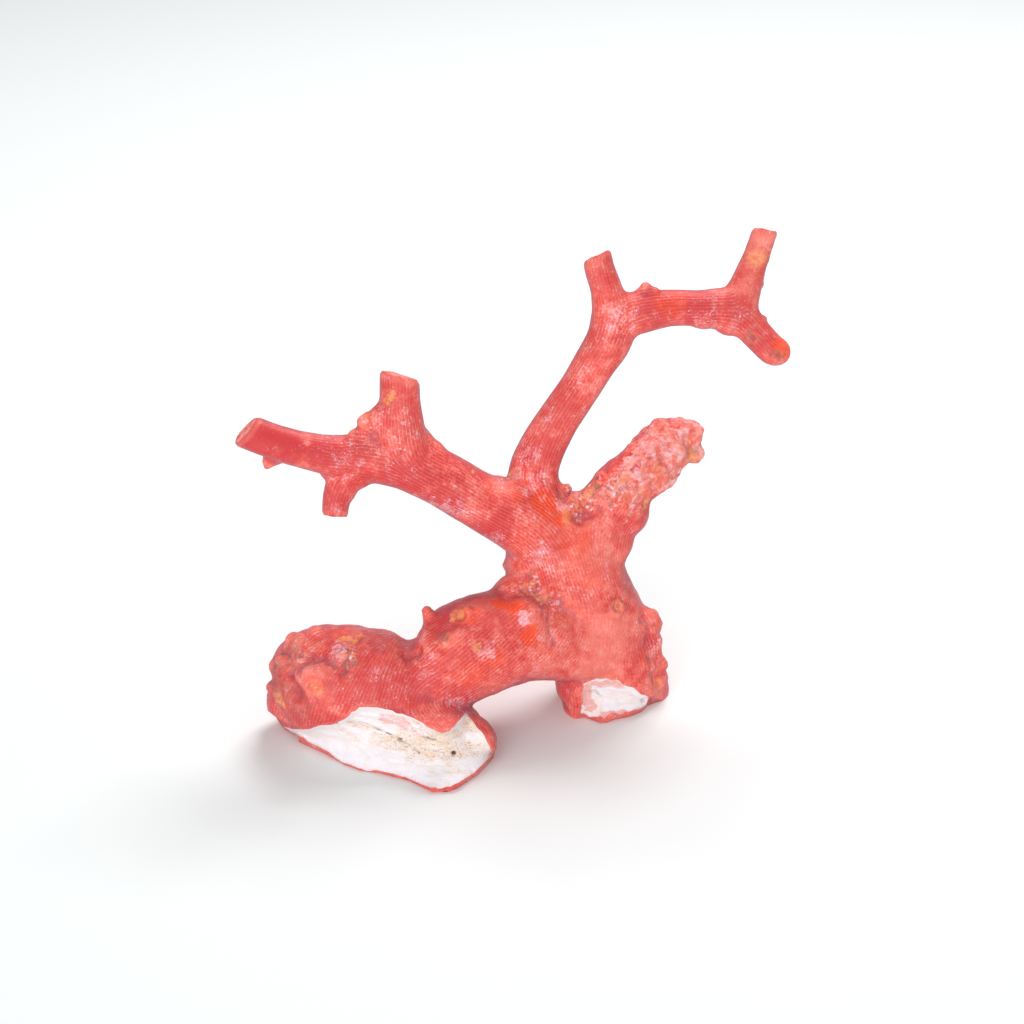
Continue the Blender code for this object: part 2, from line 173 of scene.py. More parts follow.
# The broken faces look forward and up by this angle. Their outlines lie in that plane, as
# (right, up) from the origin.
BREAK_TILT = math.radians(25)
LOBE_BREAK = [
    (-66.9, -5.6), (-64.0, -5.2), (-60.6, -4.9), (-59.0, -4.0), (-55.6, -3.5), (-53.0, -2.4),
    (-51.6, -1.0), (-50.2, 0.0), (-48.0, 0.2), (-43.3, -0.8), (-38.5, -2.6), (-35.9, -4.1),
    (-34.0, -5.1), (-32.8, -4.7), (-31.4, -3.7), (-30.4, -2.7), (-29.2, -1.4), (-28.0, -2.8),
    (-27.0, -4.1), (-25.6, -5.8), (-24.5, -8.0), (-24.3, -9.8), (-25.5, -11.4), (-27.7, -13.0),
    (-31.0, -15.0), (-33.9, -15.9), (-36.4, -15.5), (-38.6, -14.8), (-42.4, -13.8), (-46.2, -12.8),
    (-49.0, -12.9), (-51.6, -12.3), (-54.3, -11.5), (-56.6, -9.8), (-59.5, -8.7), (-63.0, -7.0),
]
FOOT_BREAK = [
    (-5.4, 3.4), (-4.0, 4.1), (-1.9, 4.4), (1.6, 4.3), (3.0, 2.8), (4.9, 2.2), (6.3, 1.2),
    (8.4, 0.2), (7.7, -1.6), (6.3, -2.2), (4.3, -2.7), (2.2, -3.2), (0.3, -2.9), (-0.8, -4.0),
    (-1.9, -3.4), (-3.6, -3.6), (-5.8, -3.0),
]
# Steps in the broken faces, where one layer ends above the next: (right, up) along each, its height
LOBE_LEDGES = [
    ([(-54.5, -2.7), (-50.3, -3.3), (-46.7, -4.5), (-43.3, -6.1), (-41.3, -7.1), (-38.3, -8.9)], 0.6),
    ([(-50.0, -1.7), (-45.5, -2.6), (-41.5, -4.4), (-37.5, -5.9)], 0.45),
    ([(-56.0, -3.9), (-53.0, -7.0), (-48.5, -9.6), (-42.5, -11.0), (-37.0, -11.4)], 0.3),
    ([(-36.5, -6.6), (-33.5, -7.0), (-30.0, -5.2)], 0.35),
]
FOOT_LEDGES = [
    ([(-5.2, 1.8), (-2.8, 2.2), (-1.6, 0.6), (-1.7, -2.6)], 0.5),
    ([(-2.6, 2.6), (0.6, 1.8), (3.6, 1.4), (6.4, 0.4)], 0.35),
    ([(-1.2, -1.2), (1.6, -1.5), (4.6, -1.0), (7.6, -0.6)], -0.25),
]
HOLE_DEPTH = 1.2  # how deep the small hole in each face goes
LAYER_TURN = math.radians(17)  # how far the layers of the core are turned in its finish
LIP_REACH = 8.0  # how far from a broken edge the distance to it still counts
BASE_TOP = 22.0  # the broken faces lie lower than this
# How each face broke: the seed of its roughness, the size of its grid's cells, how far its outline
# wanders, how far it lies below the skin at its upper and lower lip and how much more in its middle,
# the slope of its layers in degrees, its steps, and the place of its one small hole
BREAKS = {
    "lobe_break": {
        "outline": LOBE_BREAK, "seed": 21, "grain": 0.28, "ragged": 0.22, "upper_lip": 1.9,
        "lower_lip": 0.35, "bowl": 1.3, "layer_slope": -17.0, "ledges": LOBE_LEDGES,
        "hole": (-31.6, -9.3),
    },
    "foot_break": {
        "outline": FOOT_BREAK, "seed": 31, "grain": 0.25, "ragged": 0.3, "upper_lip": 0.9,
        "lower_lip": 0.4, "bowl": 0.8, "layer_slope": 15.0, "ledges": FOOT_LEDGES,
        "hole": (7.1, -0.5),
    },
}
# The section of what is trimmed off in front of a standing face: how far out from its rim, how high
RIM_SECTION = [(0.0, -25.0), (0.0, 0.0), (0.9, 2.5), (3.5, 5.5), (12.0, 5.5), (12.0, -25.0)]
# Where the standing faces end in front, as (x, y) along each rim
RIMS = {
    "lobe_rim": [
        (-71.0, -8.0), (-69.0, -10.2), (-67.0, -13.9), (-62.9, -19.8), (-57.7, -24.2),
        (-53.6, -28.5), (-50.3, -30.9), (-46.3, -32.0), (-40.4, -34.9), (-35.8, -39.2),
        (-33.6, -40.0), (-30.9, -38.0), (-27.0, -32.8), (-24.9, -28.5), (-23.2, -24.4),
        (-22.4, -20.6),
    ],
    "foot_rim": [
        (-12.2, 5.0), (-10.4, -1.7), (-8.6, -9.4), (-6.6, -9.7), (-5.1, -9.2), (-2.8, -10.7),
        (-1.2, -11.6), (0.8, -10.2), (4.4, -8.8), (6.8, -6.9), (8.0, -4.4), (10.3, -2.5),
        (12.0, -1.0), (13.5, 4.0),
    ],
}
# Stains on the broken core: (right, up, half length, half height, slope in degrees, strength)
CORE_MARKS = {
    "stain": [
        (-34.0, -7.6, 7.5, 4.2, -20.0, 1.0), (-42.0, -7.0, 6.5, 2.4, -20.0, 0.9),
        (-49.5, -4.0, 4.5, 0.9, -12.0, 0.6), (-28.5, -4.0, 1.6, 2.2, 60.0, 0.8),
        (-53.0, -5.5, 2.6, 0.7, -40.0, 0.5), (-38.0, -10.5, 5.0, 1.0, -8.0, 0.4),
        (-3.0, -2.2, 1.8, 0.7, 20.0, 0.3), (0.5, 3.8, 3.6, 0.5, -5.0, 0.4),
        (-26.5, -9.0, 1.6, 2.6, 20.0, 0.35),
    ],
    "pink": [
        (-42.6, -3.2, 4.6, 1.5, -20.0, 1.0), (-38.8, -4.9, 2.6, 1.2, -25.0, 0.8),
        (-47.0, -1.4, 3.0, 0.7, -15.0, 0.5), (-4.3, 0.2, 1.9, 3.4, 0.0, 1.2),
        (-0.4, 3.2, 4.6, 1.2, -8.0, 1.1), (4.4, 0.9, 2.4, 0.8, -30.0, 0.6),
        (1.2, -3.0, 4.8, 0.8, 6.0, 1.2), (-33.0, -16.4, 3.6, 0.6, 0.0, 0.7),
        (-40.0, -14.6, 6.0, 0.4, -15.0, 0.5),
    ],
    # cracks and the small holes, darkened as painted shade
    "crack": [
        (-31.6, -9.3, 0.55, 0.4, 0.0, 1.6), (-44.6, -5.5, 1.1, 0.2, -22.0, 0.9),
        (-42.2, -6.5, 0.8, 0.28, -20.0, 0.9), (-36.4, -6.2, 1.6, 0.4, -10.0, 0.6),
        (-54.6, -3.4, 1.2, 0.25, -50.0, 0.6), (7.0, -0.4, 0.3, 0.5, 0.0, 0.6),
        (-34.4, -8.6, 1.0, 0.25, 20.0, 0.5),
    ],
}

SEAM_REACH = 1.2  # faces within this distance of a seam's plane are cut along it
# Forks: the limb, a point of its root, the way it grows there, and the half width of the seam
FORKS = {
    "root_arm": ((-17.7, -9.5, 18.9), (-0.8, -0.6, 0.0), 14.0),
    "left_branch": ((-24.5, -3.4, 46.0), (-0.85, -0.2, 0.45), 8.0),
    "upper_branch": ((-15.3, 2.4, 52.0), (0.1, 0.2, 0.97), 7.5),
    "stump": ((1.4, 3.1, 45.4), (0.52, 0.25, 0.82), 9.5),
    "left_stub": ((-42.3, -5.9, 68.3), (0.2, 0.4, 0.88), 7.5),
    "left_arm": ((-50.5, -8.2, 58.4), (-0.95, -0.15, -0.28), 8.5),
    "upper_stub": ((-0.8, 8.0, 86.0), (-0.25, 0.0, 1.0), 5.0),
    "upper_arm": ((5.0, 8.8, 82.4), (1.0, 0.15, 0.1), 6.5),
    "high_prong": ((27.0, 13.5, 86.0), (0.35, 0.2, 0.9), 5.0),
}
# Pieces: a point inside each one, and the name of a finish for it
PIECES = {
    "trunk": ((-3.0, 0.0, 18.0), "red_coral"),
    "root_arm": ((-30.0, -16.0, 18.0), "red_coral"),
    "left_branch": ((-30.0, -5.0, 50.0), "red_coral"),
    "left_arm": ((-58.0, -9.5, 59.8), "red_coral"),
    "left_stub": ((-42.0, -6.0, 72.0), "red_coral"),
    "upper_branch": ((-10.7, 4.0, 61.2), "red_coral"),
    "upper_stub": ((-2.0, 8.0, 90.0), "red_coral"),
    "upper_arm": ((14.0, 10.5, 82.8), "red_coral"),
    "high_prong": ((29.0, 15.0, 92.0), "red_coral"),
    "stump": ((9.0, 7.0, 51.5), "pale_coral"),
}

# Marks on the skin, each as (x, y, z, radius, strength)
MARKS = {
    "ochre": [
        (-43.8, -9.2, 71.4, 1.5, 1.0), (28.9, 12.7, 92.8, 2.0, 0.9), (29.2, 14.0, 91.0, 6.0, 0.35),
        (-52.3, -20.7, 24.3, 2.0, 1.0), (-66.5, -22.1, 11.9, 2.0, 1.0),
        (-58.8, -28.4, 17.6, 1.5, 0.8), (-30.8, -17.8, 27.5, 1.8, 0.9),
        (-33.1, -23.1, 25.3, 1.2, 0.5), (-26.8, -22.6, 23.9, 1.4, 0.8), (1.3, -7.4, 25.6, 1.3, 0.7),
        (10.1, -3.2, 4.4, 1.3, 0.8), (-9.3, -4.4, 43.9, 1.8, 0.6), (-7.3, -3.3, 45.7, 1.5, 0.5),
        (-4.2, 0.0, 46.8, 2.0, 0.8), (7.4, 1.0, 44.3, 1.4, 0.8), (16.3, 6.4, 51.7, 1.8, 0.9),
        (-20.8, -0.3, 50.3, 1.6, 0.8), (-27.8, -7.0, 54.4, 1.0, 0.7), (-51.4, -8.8, 63.6, 1.2, 1.0),
        (-61.0, -21.0, 22.0, 3.0, 0.4), (-14.0, -10.3, 28.0, 2.2, 0.5),
        (-10.5, -12.0, 24.5, 2.2, 0.4), (-36.0, -10.5, 47.5, 1.6, 0.5), (3.0, 0.5, 50.0, 1.6, 0.6),
        (5.0, 1.0, 48.0, 1.2, 0.6), (9.0, 1.5, 52.0, 1.2, 0.5), (-1.0, 12.0, 33.0, 2.0, 0.9),
        (8.0, 10.0, 14.0, 2.6, 0.8), (-52.0, -6.0, 14.0, 2.6, 0.9), (-62.0, -6.0, 9.0, 2.0, 0.8),
        (-30.0, 2.0, 52.0, 1.6, 0.8), (13.0, 13.0, 51.0, 1.6, 0.9), (-25.0, -4.0, 22.0, 1.8, 0.7),
        (-6.0, 9.0, 76.0, 1.3, 0.7),
    ],
    "bloom": [
        (-54.1, -23.7, 22.6, 2.6, 1.0), (-17.8, -18.0, 28.3, 1.9, 1.5),
        (-24.8, -23.4, 23.0, 2.2, 0.9), (-12.7, -9.6, 33.1, 6.0, 0.3), (-15.4, -10.9, 28.0, 4.5, 0.3),
        (-32.3, -10.1, 47.6, 3.2, 0.9), (-37.3, -9.8, 49.2, 2.8, 0.7), (-17.0, -2.0, 56.0, 3.5, 0.6),
        (-15.5, -3.0, 50.5, 3.5, 0.7), (-7.4, 1.2, 72.0, 3.0, 0.4), (7.9, 3.5, 56.3, 3.5, 0.8),
        (4.2, 0.4, 52.5, 3.0, 0.7), (-9.5, -4.0, 46.0, 1.8, 0.9), (-14.5, -8.5, 37.0, 2.0, 0.8),
        (-14.0, -8.5, 39.7, 0.5, 1.0), (-22.0, -6.0, 41.0, 3.0, 0.6), (-46.0, -9.5, 68.0, 2.5, 0.3),
        (8.5, -3.0, 14.0, 3.0, 0.5), (-30.0, -25.5, 12.0, 3.5, 0.6), (-60.0, -24.0, 20.5, 3.0, 0.4),
        (-37.0, -24.0, 20.0, 3.0, 0.5), (-1.5, -7.0, 32.0, 2.0, 0.5), (-5.5, -9.0, 29.0, 2.5, 0.5),
        (-50.0, -10.0, 59.0, 6.0, 0.2), (-42.0, -11.0, 62.0, 6.0, 0.2),
        (-55.0, -11.0, 48.0, 3.0, 0.4), (2.0, 3.5, 82.0, 4.0, 0.5), (-62.0, -22.0, 21.0, 3.0, 0.5),
        (18.0, 7.5, 81.0, 4.0, 0.4), (-68.5, -20.0, 9.0, 3.0, 0.4), (-8.0, 11.0, 26.0, 5.0, 0.7),
        (4.0, 12.0, 40.0, 4.0, 0.6), (-46.0, -4.0, 16.0, 5.0, 0.8), (-36.0, 0.0, 56.0, 4.0, 0.7),
        (-12.0, 9.0, 60.0, 3.0, 0.6), (-20.0, -2.0, 20.0, 4.0, 0.6),
    ],
    "blush": [
        (-13.4, -4.6, 46.3, 3.6, 0.8), (-10.0, -4.5, 43.5, 3.2, 0.7), (-19.4, -15.6, 29.5, 2.6, 1.0),
        (-22.5, -15.5, 30.0, 2.0, 0.7), (-28.4, -18.8, 29.3, 3.0, 0.6),
        (-16.4, -18.6, 24.1, 2.6, 0.8), (-28.3, -25.5, 19.0, 4.0, 0.45),
        (-23.5, -24.0, 22.0, 3.2, 0.5), (-16.5, -2.0, 50.0, 3.0, 0.5), (2.0, 0.0, 46.0, 3.0, 0.4),
        (10.5, -5.0, 6.0, 3.0, 0.4), (-7.5, -7.0, 39.0, 5.0, 0.5), (-5.3, -10.2, 32.2, 6.0, 0.35),
        (7.0, -5.5, 12.0, 3.0, 0.4), (-58.8, -28.4, 19.0, 2.5, 0.5), (-4.0, 12.0, 44.0, 5.0, 0.6),
        (2.0, 13.0, 22.0, 5.0, 0.5), (-34.0, -6.0, 24.0, 5.0, 0.7), (-56.0, -8.0, 20.0, 4.0, 0.6),
        (-54.0, -20.0, 26.0, 2.5, 0.4), (34.5, 8.0, 75.0, 3.0, 0.8), (12.0, 6.5, 86.0, 4.0, 0.5),
        (-20.0, -3.0, 46.0, 4.0, 0.4),
    ],
    # deeper red patches: partly the coral's own colour, partly painted shade on the undersides of
    # limbs and the left of the lobe
    "crimson": [
        (-46.1, -29.7, 17.6, 8.5, 0.7), (-39.2, -27.1, 16.2, 7.0, 0.65),
        (-53.0, -29.7, 17.6, 5.0, 0.5), (-67.5, -21.6, 13.3, 5.0, 0.9),
        (-62.0, -26.0, 12.0, 6.0, 0.7), (-63.2, -24.3, 17.0, 2.6, 0.6), (-56.0, -27.0, 9.0, 6.0, 0.7),
        (-70.0, -14.0, 9.0, 6.0, 0.7), (-47.0, -22.0, 24.0, 5.0, 0.6), (-58.0, -17.0, 24.0, 4.0, 0.4),
        (-33.0, -25.0, 12.0, 5.0, 0.7), (-69.2, -14.7, 64.9, 7.0, 1.0),
        (-64.4, -13.9, 63.5, 6.0, 1.0), (-57.0, -12.5, 61.0, 5.0, 0.9),
        (-51.8, -12.2, 60.6, 5.0, 0.7), (-42.1, -12.1, 55.2, 7.0, 0.8),
        (-34.3, -10.2, 48.9, 6.0, 0.8), (-24.0, -7.0, 43.0, 5.0, 0.7), (-55.5, -11.5, 50.0, 4.0, 0.8),
        (-43.9, -9.1, 72.0, 5.0, 0.5), (-40.0, -9.0, 66.0, 5.0, 0.5), (9.4, 6.3, 85.1, 6.0, 0.8),
        (17.5, 7.8, 84.5, 6.0, 0.8), (25.6, 9.1, 82.9, 5.0, 0.7), (30.0, 8.0, 77.0, 4.0, 0.5),
        (28.5, 13.5, 88.0, 6.0, 0.5), (-1.0, 4.5, 92.0, 5.0, 0.5), (-4.5, 4.4, 78.3, 5.0, 0.4),
        (-10.4, 1.5, 64.0, 6.0, 0.5), (-13.5, -1.0, 57.0, 5.0, 0.5), (-20.0, -16.0, 14.0, 5.0, 0.7),
        (-28.3, -25.5, 15.0, 4.0, 0.5), (-8.0, -7.0, 8.0, 4.0, 0.6), (-24.0, -20.0, 28.0, 3.5, 0.5),
        (-30.0, -24.0, 20.0, 5.0, 0.35), (-34.0, -20.0, 27.0, 4.0, 0.5), (5.0, -5.0, 14.0, 4.0, 0.4),
        (8.0, -3.0, 30.0, 5.0, 0.4), (-12.0, -7.0, 38.0, 4.0, 0.4), (2.0, -1.0, 38.0, 4.0, 0.3),
        (-9.0, 10.0, 14.0, 8.0, 0.7), (9.0, 10.0, 24.0, 6.0, 0.6), (-66.0, -6.0, 14.0, 7.0, 0.7),
        (-44.0, -2.0, 8.0, 7.0, 0.7), (-28.0, -2.0, 18.0, 6.0, 0.6), (-44.0, -1.0, 62.0, 7.0, 0.6),
        (-22.0, 3.0, 46.0, 6.0, 0.5), (-9.0, 9.0, 68.0, 6.0, 0.6), (0.0, 12.0, 84.0, 5.0, 0.6),
        (16.0, 15.0, 84.0, 6.0, 0.6),
    ],
    "debris": [
        (-6.8, -2.6, 44.6, 3.0, 1.3), (-3.2, 0.6, 47.4, 2.2, 1.3), (-20.0, -1.0, 50.5, 1.6, 0.6),
        (-8.8, 1.0, 47.6, 1.8, 1.0), (-30.8, -18.2, 28.4, 1.6, 0.6), (-33.4, -22.6, 25.0, 2.0, 0.6),
        (-52.6, -24.6, 22.0, 2.2, 0.9), (-51.0, -20.5, 24.2, 1.8, 0.7),
        (-13.5, -12.0, 27.5, 2.4, 0.5), (-16.5, -8.5, 30.0, 3.2, 0.75),
        (-12.0, -11.0, 28.5, 3.4, 0.6), (1.0, 0.0, 47.5, 3.0, 0.8), (-67.5, -19.0, 14.0, 3.0, 0.5),
        (-64.0, -20.0, 20.5, 2.5, 0.6), (10.5, -2.0, 16.0, 3.0, 0.35), (10.5, -2.5, 7.0, 3.5, 0.35),
        (1.0, -7.8, 24.6, 1.8, 0.6), (-19.5, -6.0, 31.0, 2.5, 0.4), (-18.0, 2.0, 30.0, 4.0, 0.7),
        (-2.0, 8.0, 48.0, 3.0, 0.8), (6.0, 12.0, 6.0, 4.0, 0.5), (-58.0, -8.0, 5.0, 5.0, 0.5),
        (-44.0, -8.0, 20.0, 3.0, 0.6),
    ],
    "polish": [
        (0.0, -9.7, 18.3, 7.0, 0.75), (-2.1, -11.1, 13.3, 6.0, 0.75), (-6.2, -10.2, 25.4, 6.0, 0.4),
        (-64.5, -13.8, 62.4, 7.0, 1.0), (-70.5, -14.5, 65.0, 7.0, 1.0), (-49.1, -8.6, 66.4, 2.2, 1.0),
        (-24.0, -18.0, 28.5, 5.0, 0.4), (-5.0, -8.0, 36.0, 9.0, 0.45), (-58.5, -27.5, 18.0, 4.0, 0.5),
        (29.0, 15.0, 93.0, 6.0, 0.8), (28.5, 13.5, 87.0, 6.0, 0.8),
    ],
    "pale": [
        (9.5, 4.0, 52.5, 8.5, 1.0), (15.0, 7.0, 54.0, 7.0, 1.0), (3.5, 1.5, 47.5, 5.5, 0.95),
        (10.5, 12.0, 53.0, 7.5, 1.0), (15.5, 13.0, 54.0, 7.0, 1.0), (6.0, 10.0, 49.5, 4.5, 0.7),
        (-49.1, -8.6, 66.4, 2.4, 0.7), (-6.5, 0.5, 47.0, 2.4, 0.7), (28.9, 13.0, 93.0, 3.0, 0.35),
    ],
    # dirt with painted shade: folds, recesses and pits darkened brown
    "grime": [
        (-66.5, -20.0, 14.0, 6.0, 0.66), (-62.0, -25.0, 12.0, 5.0, 0.6),
        (-64.0, -19.0, 21.0, 4.0, 0.6), (-6.3, -3.4, 43.5, 3.0, 0.4), (-3.0, 0.0, 47.5, 2.0, 0.8),
        (-10.3, -1.6, 47.1, 1.8, 0.6), (-19.5, -0.5, 49.5, 2.2, 0.6), (33.4, 7.1, 74.0, 1.8, 0.9),
        (28.2, 8.6, 77.1, 2.3, 0.75), (-52.0, -25.5, 20.8, 1.8, 0.8), (-61.0, -22.5, 21.0, 2.0, 0.4),
        (-62.4, -25.6, 14.5, 2.0, 0.5), (8.0, -2.3, 17.9, 1.6, 0.5), (8.2, -4.5, 11.0, 2.0, 0.5),
        (-34.0, -22.0, 26.0, 1.6, 0.6), (17.0, 6.0, 53.5, 1.6, 0.6),
    ],
}

# Pits pressed into the skin: (x, y, z, radius, depth)
PITS = [
    (-51.1, -21.1, 24.3, 1.9, 0.5), (-66.5, -22.5, 12.2, 1.8, 0.5), (-59.0, -27.4, 17.5, 1.5, 0.6),
    (-30.4, -18.2, 28.4, 1.7, 0.8), (-33.3, -22.8, 25.2, 1.5, 0.5), (-26.3, -23.3, 24.3, 1.2, 0.5),
    (0.9, -7.9, 24.7, 1.3, 0.6), (10.1, -3.2, 4.4, 1.2, 0.4), (-44.3, -9.1, 71.4, 1.3, 0.25),
    (28.9, 12.7, 92.8, 1.5, 0.2), (33.4, 7.1, 74.0, 0.8, 0.35), (28.2, 8.6, 77.1, 1.0, 0.3),
    (-53.0, -25.5, 21.6, 1.8, 0.5), (-6.5, -2.9, 44.0, 2.6, 0.7), (-62.2, -26.0, 15.6, 3.0, 0.8),
    (-47.0, -22.0, 22.5, 2.5, 0.3), (4.2, -3.5, 29.0, 3.0, 0.3), (-64.2, -22.0, 17.5, 2.8, 1.0),
    (-26.0, -20.0, 27.0, 3.0, 0.4),
]

# Folds where two limbs press together: points along each, its half width, its depth, and how dark it
# is painted with dirt and shade
FOLDS = [
    ([(-20.5, -4.0, 29.5), (-17.4, -8.8, 28.8), (-13.3, -11.5, 27.2), (-11.8, -14.6, 24.3),
      (-11.8, -16.4, 21.0)], 1.1, 0.6, 0.4),
    ([(-66.5, -17.0, 18.5), (-64.5, -20.0, 20.4), (-60.2, -22.1, 21.7), (-56.1, -24.9, 21.6),
      (-53.5, -26.5, 19.8)], 1.3, 1.0, 0.5),
    ([(-64.5, -20.0, 20.0), (-63.2, -23.5, 17.0), (-62.8, -25.0, 13.5)], 1.3, 0.8, 0.5),
    ([(7.0, -3.0, 20.5), (8.2, -3.5, 17.6), (7.2, -4.6, 14.6), (8.6, -4.8, 11.6), (7.8, -5.0, 9.0),
      (9.5, -4.5, 6.0)], 0.9, 0.5, 0.35),
    ([(-10.5, -1.5, 47.5), (-8.0, -4.0, 44.0), (-5.5, -4.3, 42.5), (-2.5, -3.0, 44.0)], 0.9, 0.5, 0.3),
    ([(4.5, 1.0, 55.5), (7.5, 1.5, 54.4), (10.5, 3.0, 54.8)], 0.6, 0.4, 0.3),
    ([(-40.0, -22.0, 22.0), (-40.2, -17.0, 23.8), (-40.2, -12.0, 22.0)], 2.0, 1.9, 0.1),
]

FRONT_SIDE = (0.0, -0.9, 0.42)  # the skin seen edge-on from this direction is painted with mauve shade
SHARP_ANGLE = math.radians(48)
RAGGED, SOFT = 0.6, 0.3  # how far the border of a mark wanders, as a share of the mark's radius
SOFT_MARKS = ("blush", "crimson", "polish")  # the other marks have ragged borders
STUMP_CRUST = slice(0, 6)  # the pale marks that cover the stump, where crust has settled too
# What every point keeps for the finish of the skin and for that of the broken core
SKIN_FIELDS = (
    "ochre", "bloom", "blush", "polish", "pale", "grime", "crimson", "debris", "patina", "flake",
    "hollow",
)
CORE_FIELDS = ("lip", "stain", "pink", "crack")


def length(name, description, default, least=0.0):
    """A length that the user may change."""
    return bpy.props.FloatProperty(
        name=name, description=description, default=default, min=least, unit="LENGTH", precision=5
    )


def colour(name, description, default):
    """A colour that the user may change."""
    return bpy.props.FloatVectorProperty(
        name=name, description=description, subtype="COLOR", size=3, min=0.0, max=1.0,
        default=default,
    )


class CoralSizes(bpy.types.PropertyGroup):
    """Sizes of the growth."""

    flow_grain: length(
        "Flow grain", "Grain at which limbs and lumps flow into one body", 0.6 * MM, 0.3 * MM
    )
    fork_smoothing: bpy.props.IntProperty(
        name="Fork smoothing", description="Passes that round the forks", default=10, min=0,
    )
    skin_grain: length(
        "Skin grain", "Size of the mesh faces that carry the finest relief", 0.25 * MM, 0.15 * MM
    )
    groove_pitch: length(
        "Groove pitch", "Distance from one groove to the next", 0.72 * MM, 0.4 * MM
    )
    groove_depth: length("Groove depth", "Depth of a groove below its ridges", 0.09 * MM)
    swelling: length("Swelling", "Height of the broad swellings on the old wood", 0.45 * MM)
    crust_density: bpy.props.FloatProperty(
        name="Crust density", description="Grains of crust on a square metre of the roughest skin",
        default=420000.0, min=0.0,
    )
    crust_size: length(
        "Crust size", "Radius of the largest grains of crust", 1.3 * MM, 0.2 * MM
    )
    crust_seed: bpy.props.IntProperty(
        name="Crust seed", description="Changes where the grains of crust sit", default=4,
    )


class CoralColours(bpy.types.PropertyGroup):
    """Colours of the skin and of the broken core."""

    deep_red: colour("Deep red", "Darkest red of the skin", (0.62, 0.048, 0.054))
    bright_red: colour("Bright red", "Usual red of the skin", (0.83, 0.092, 0.072))
    rose: colour("Rose", "Paler salmon red of worn skin", (0.96, 0.3, 0.23))
    orange: colour("Orange", "Orange tint of the crust", (0.93, 0.27, 0.1))
    scarlet: colour("Scarlet", "Orange red where the skin glows", (0.93, 0.07, 0.01))
    # painted shade: this mauve darkens the skin seen edge-on from the front, and its hollows
    shade_mauve: colour("Mauve", "Dull violet film on the sheltered sides", (0.42, 0.09, 0.13))
    bloom: colour("Bloom", "White bloom in grooves and on worn skin", (0.92, 0.66, 0.76))
    pale: colour("Pale crust", "Pale pink crust of the stump", (0.93, 0.37, 0.33))
    crevice: colour("Crevice", "Red between the flakes of crust", (0.78, 0.15, 0.11))
    ochre: colour("Ochre", "Orange sediment in pits", (0.93, 0.27, 0.09))
    sand: colour("Sand", "Pale grains in the sediment", (0.84, 0.36, 0.17))
    # brown of dirt and of painted shade in folds, recesses and pits
    grime: colour("Grime", "Brown dirt in folds", (0.3, 0.14, 0.11))
    core: colour("Core", "White of the broken core", (0.95, 0.90, 0.95))
    core_dull: colour("Dull core", "Lilac white between the layers of the core", (0.88, 0.85, 0.88))
    core_stain: colour("Core stain", "Sandy stain on the broken core", (0.86, 0.64, 0.46))
    core_pink: colour("Core pink", "Pink layers on the broken core", (0.86, 0.32, 0.28))
    # brown of specks and stains, and of painted shade under the steps, in the cracks and in the holes
    # of the core
    core_dirt_and_shade: colour("Core shade", "Brown dirt in the cracks of the core", (0.26, 0.16, 0.1))


class CoralStage(bpy.types.PropertyGroup):
    """Floor, light and camera."""

    floor: colour("Floor", "Colour of the plain floor", (0.83, 0.86, 0.86))
    key_power: bpy.props.FloatProperty(
        name="Key light", description="Power of the wide soft light in front",
        default=7.0, min=0.0, unit="POWER",
    )
    top_power: bpy.props.FloatProperty(
        name="Top light", description="Power of the soft light above and behind",
        default=4.0, min=0.0, unit="POWER",
    )
    sky: bpy.props.FloatProperty(
        name="Room light", description="Strength of the even white room light",
        default=0.5, min=0.0,
    )
    elevation: bpy.props.FloatProperty(
        name="Camera elevation", description="Height of the camera above the horizon",
        default=math.radians(25), subtype="ANGLE", unit="ROTATION",
    )
    distance: bpy.props.FloatProperty(
        name="Camera distance", description="Distance from the camera to the coral",
        default=0.569, min=0.1, unit="LENGTH",
    )


# ---------------------------------------------------------------- trees of nodes


class Wire:
    """A number that flows through a tree of nodes. Sums with wires become Math nodes."""

    def __init__(self, tree, socket):
        self.tree = tree
        self.socket = socket

    def math(self, operation, *others, clamp=False):
        node = self.tree.node("ShaderNodeMath", {"operation": operation, "use_clamp": clamp})
        for socket, value in zip(node.inputs, (self, *others)):
            self.tree.feed(socket, value)
        return Wire(self.tree, node.outputs[0])

    def __add__(self, other):
        return self.math("ADD", other)

    __radd__ = __add__

    def __sub__(self, other):
        return self.math("SUBTRACT", other)

    def __rsub__(self, other):
        return (self * -1.0) + other

    def __mul__(self, other):
        return self.math("MULTIPLY", other)

    __rmul__ = __mul__

    def __truediv__(self, other):
        return self.math("DIVIDE", other)

    def __pow__(self, other):
        return self.math("POWER", other)

    def clamp(self):
        return self.math("ADD", 0.0, clamp=True)

    def larger(self, other):
        return self.math("MAXIMUM", other)

    def smooth(self, low, high):
        """0 below low, 1 above high, and a smooth step between them."""
        node = self.tree.node(
            "ShaderNodeMapRange", {"interpolation_type": "SMOOTHSTEP"},
            {"Value": self, "From Min": low, "From Max": high},
        )
        return Wire(self.tree, node.outputs[0])


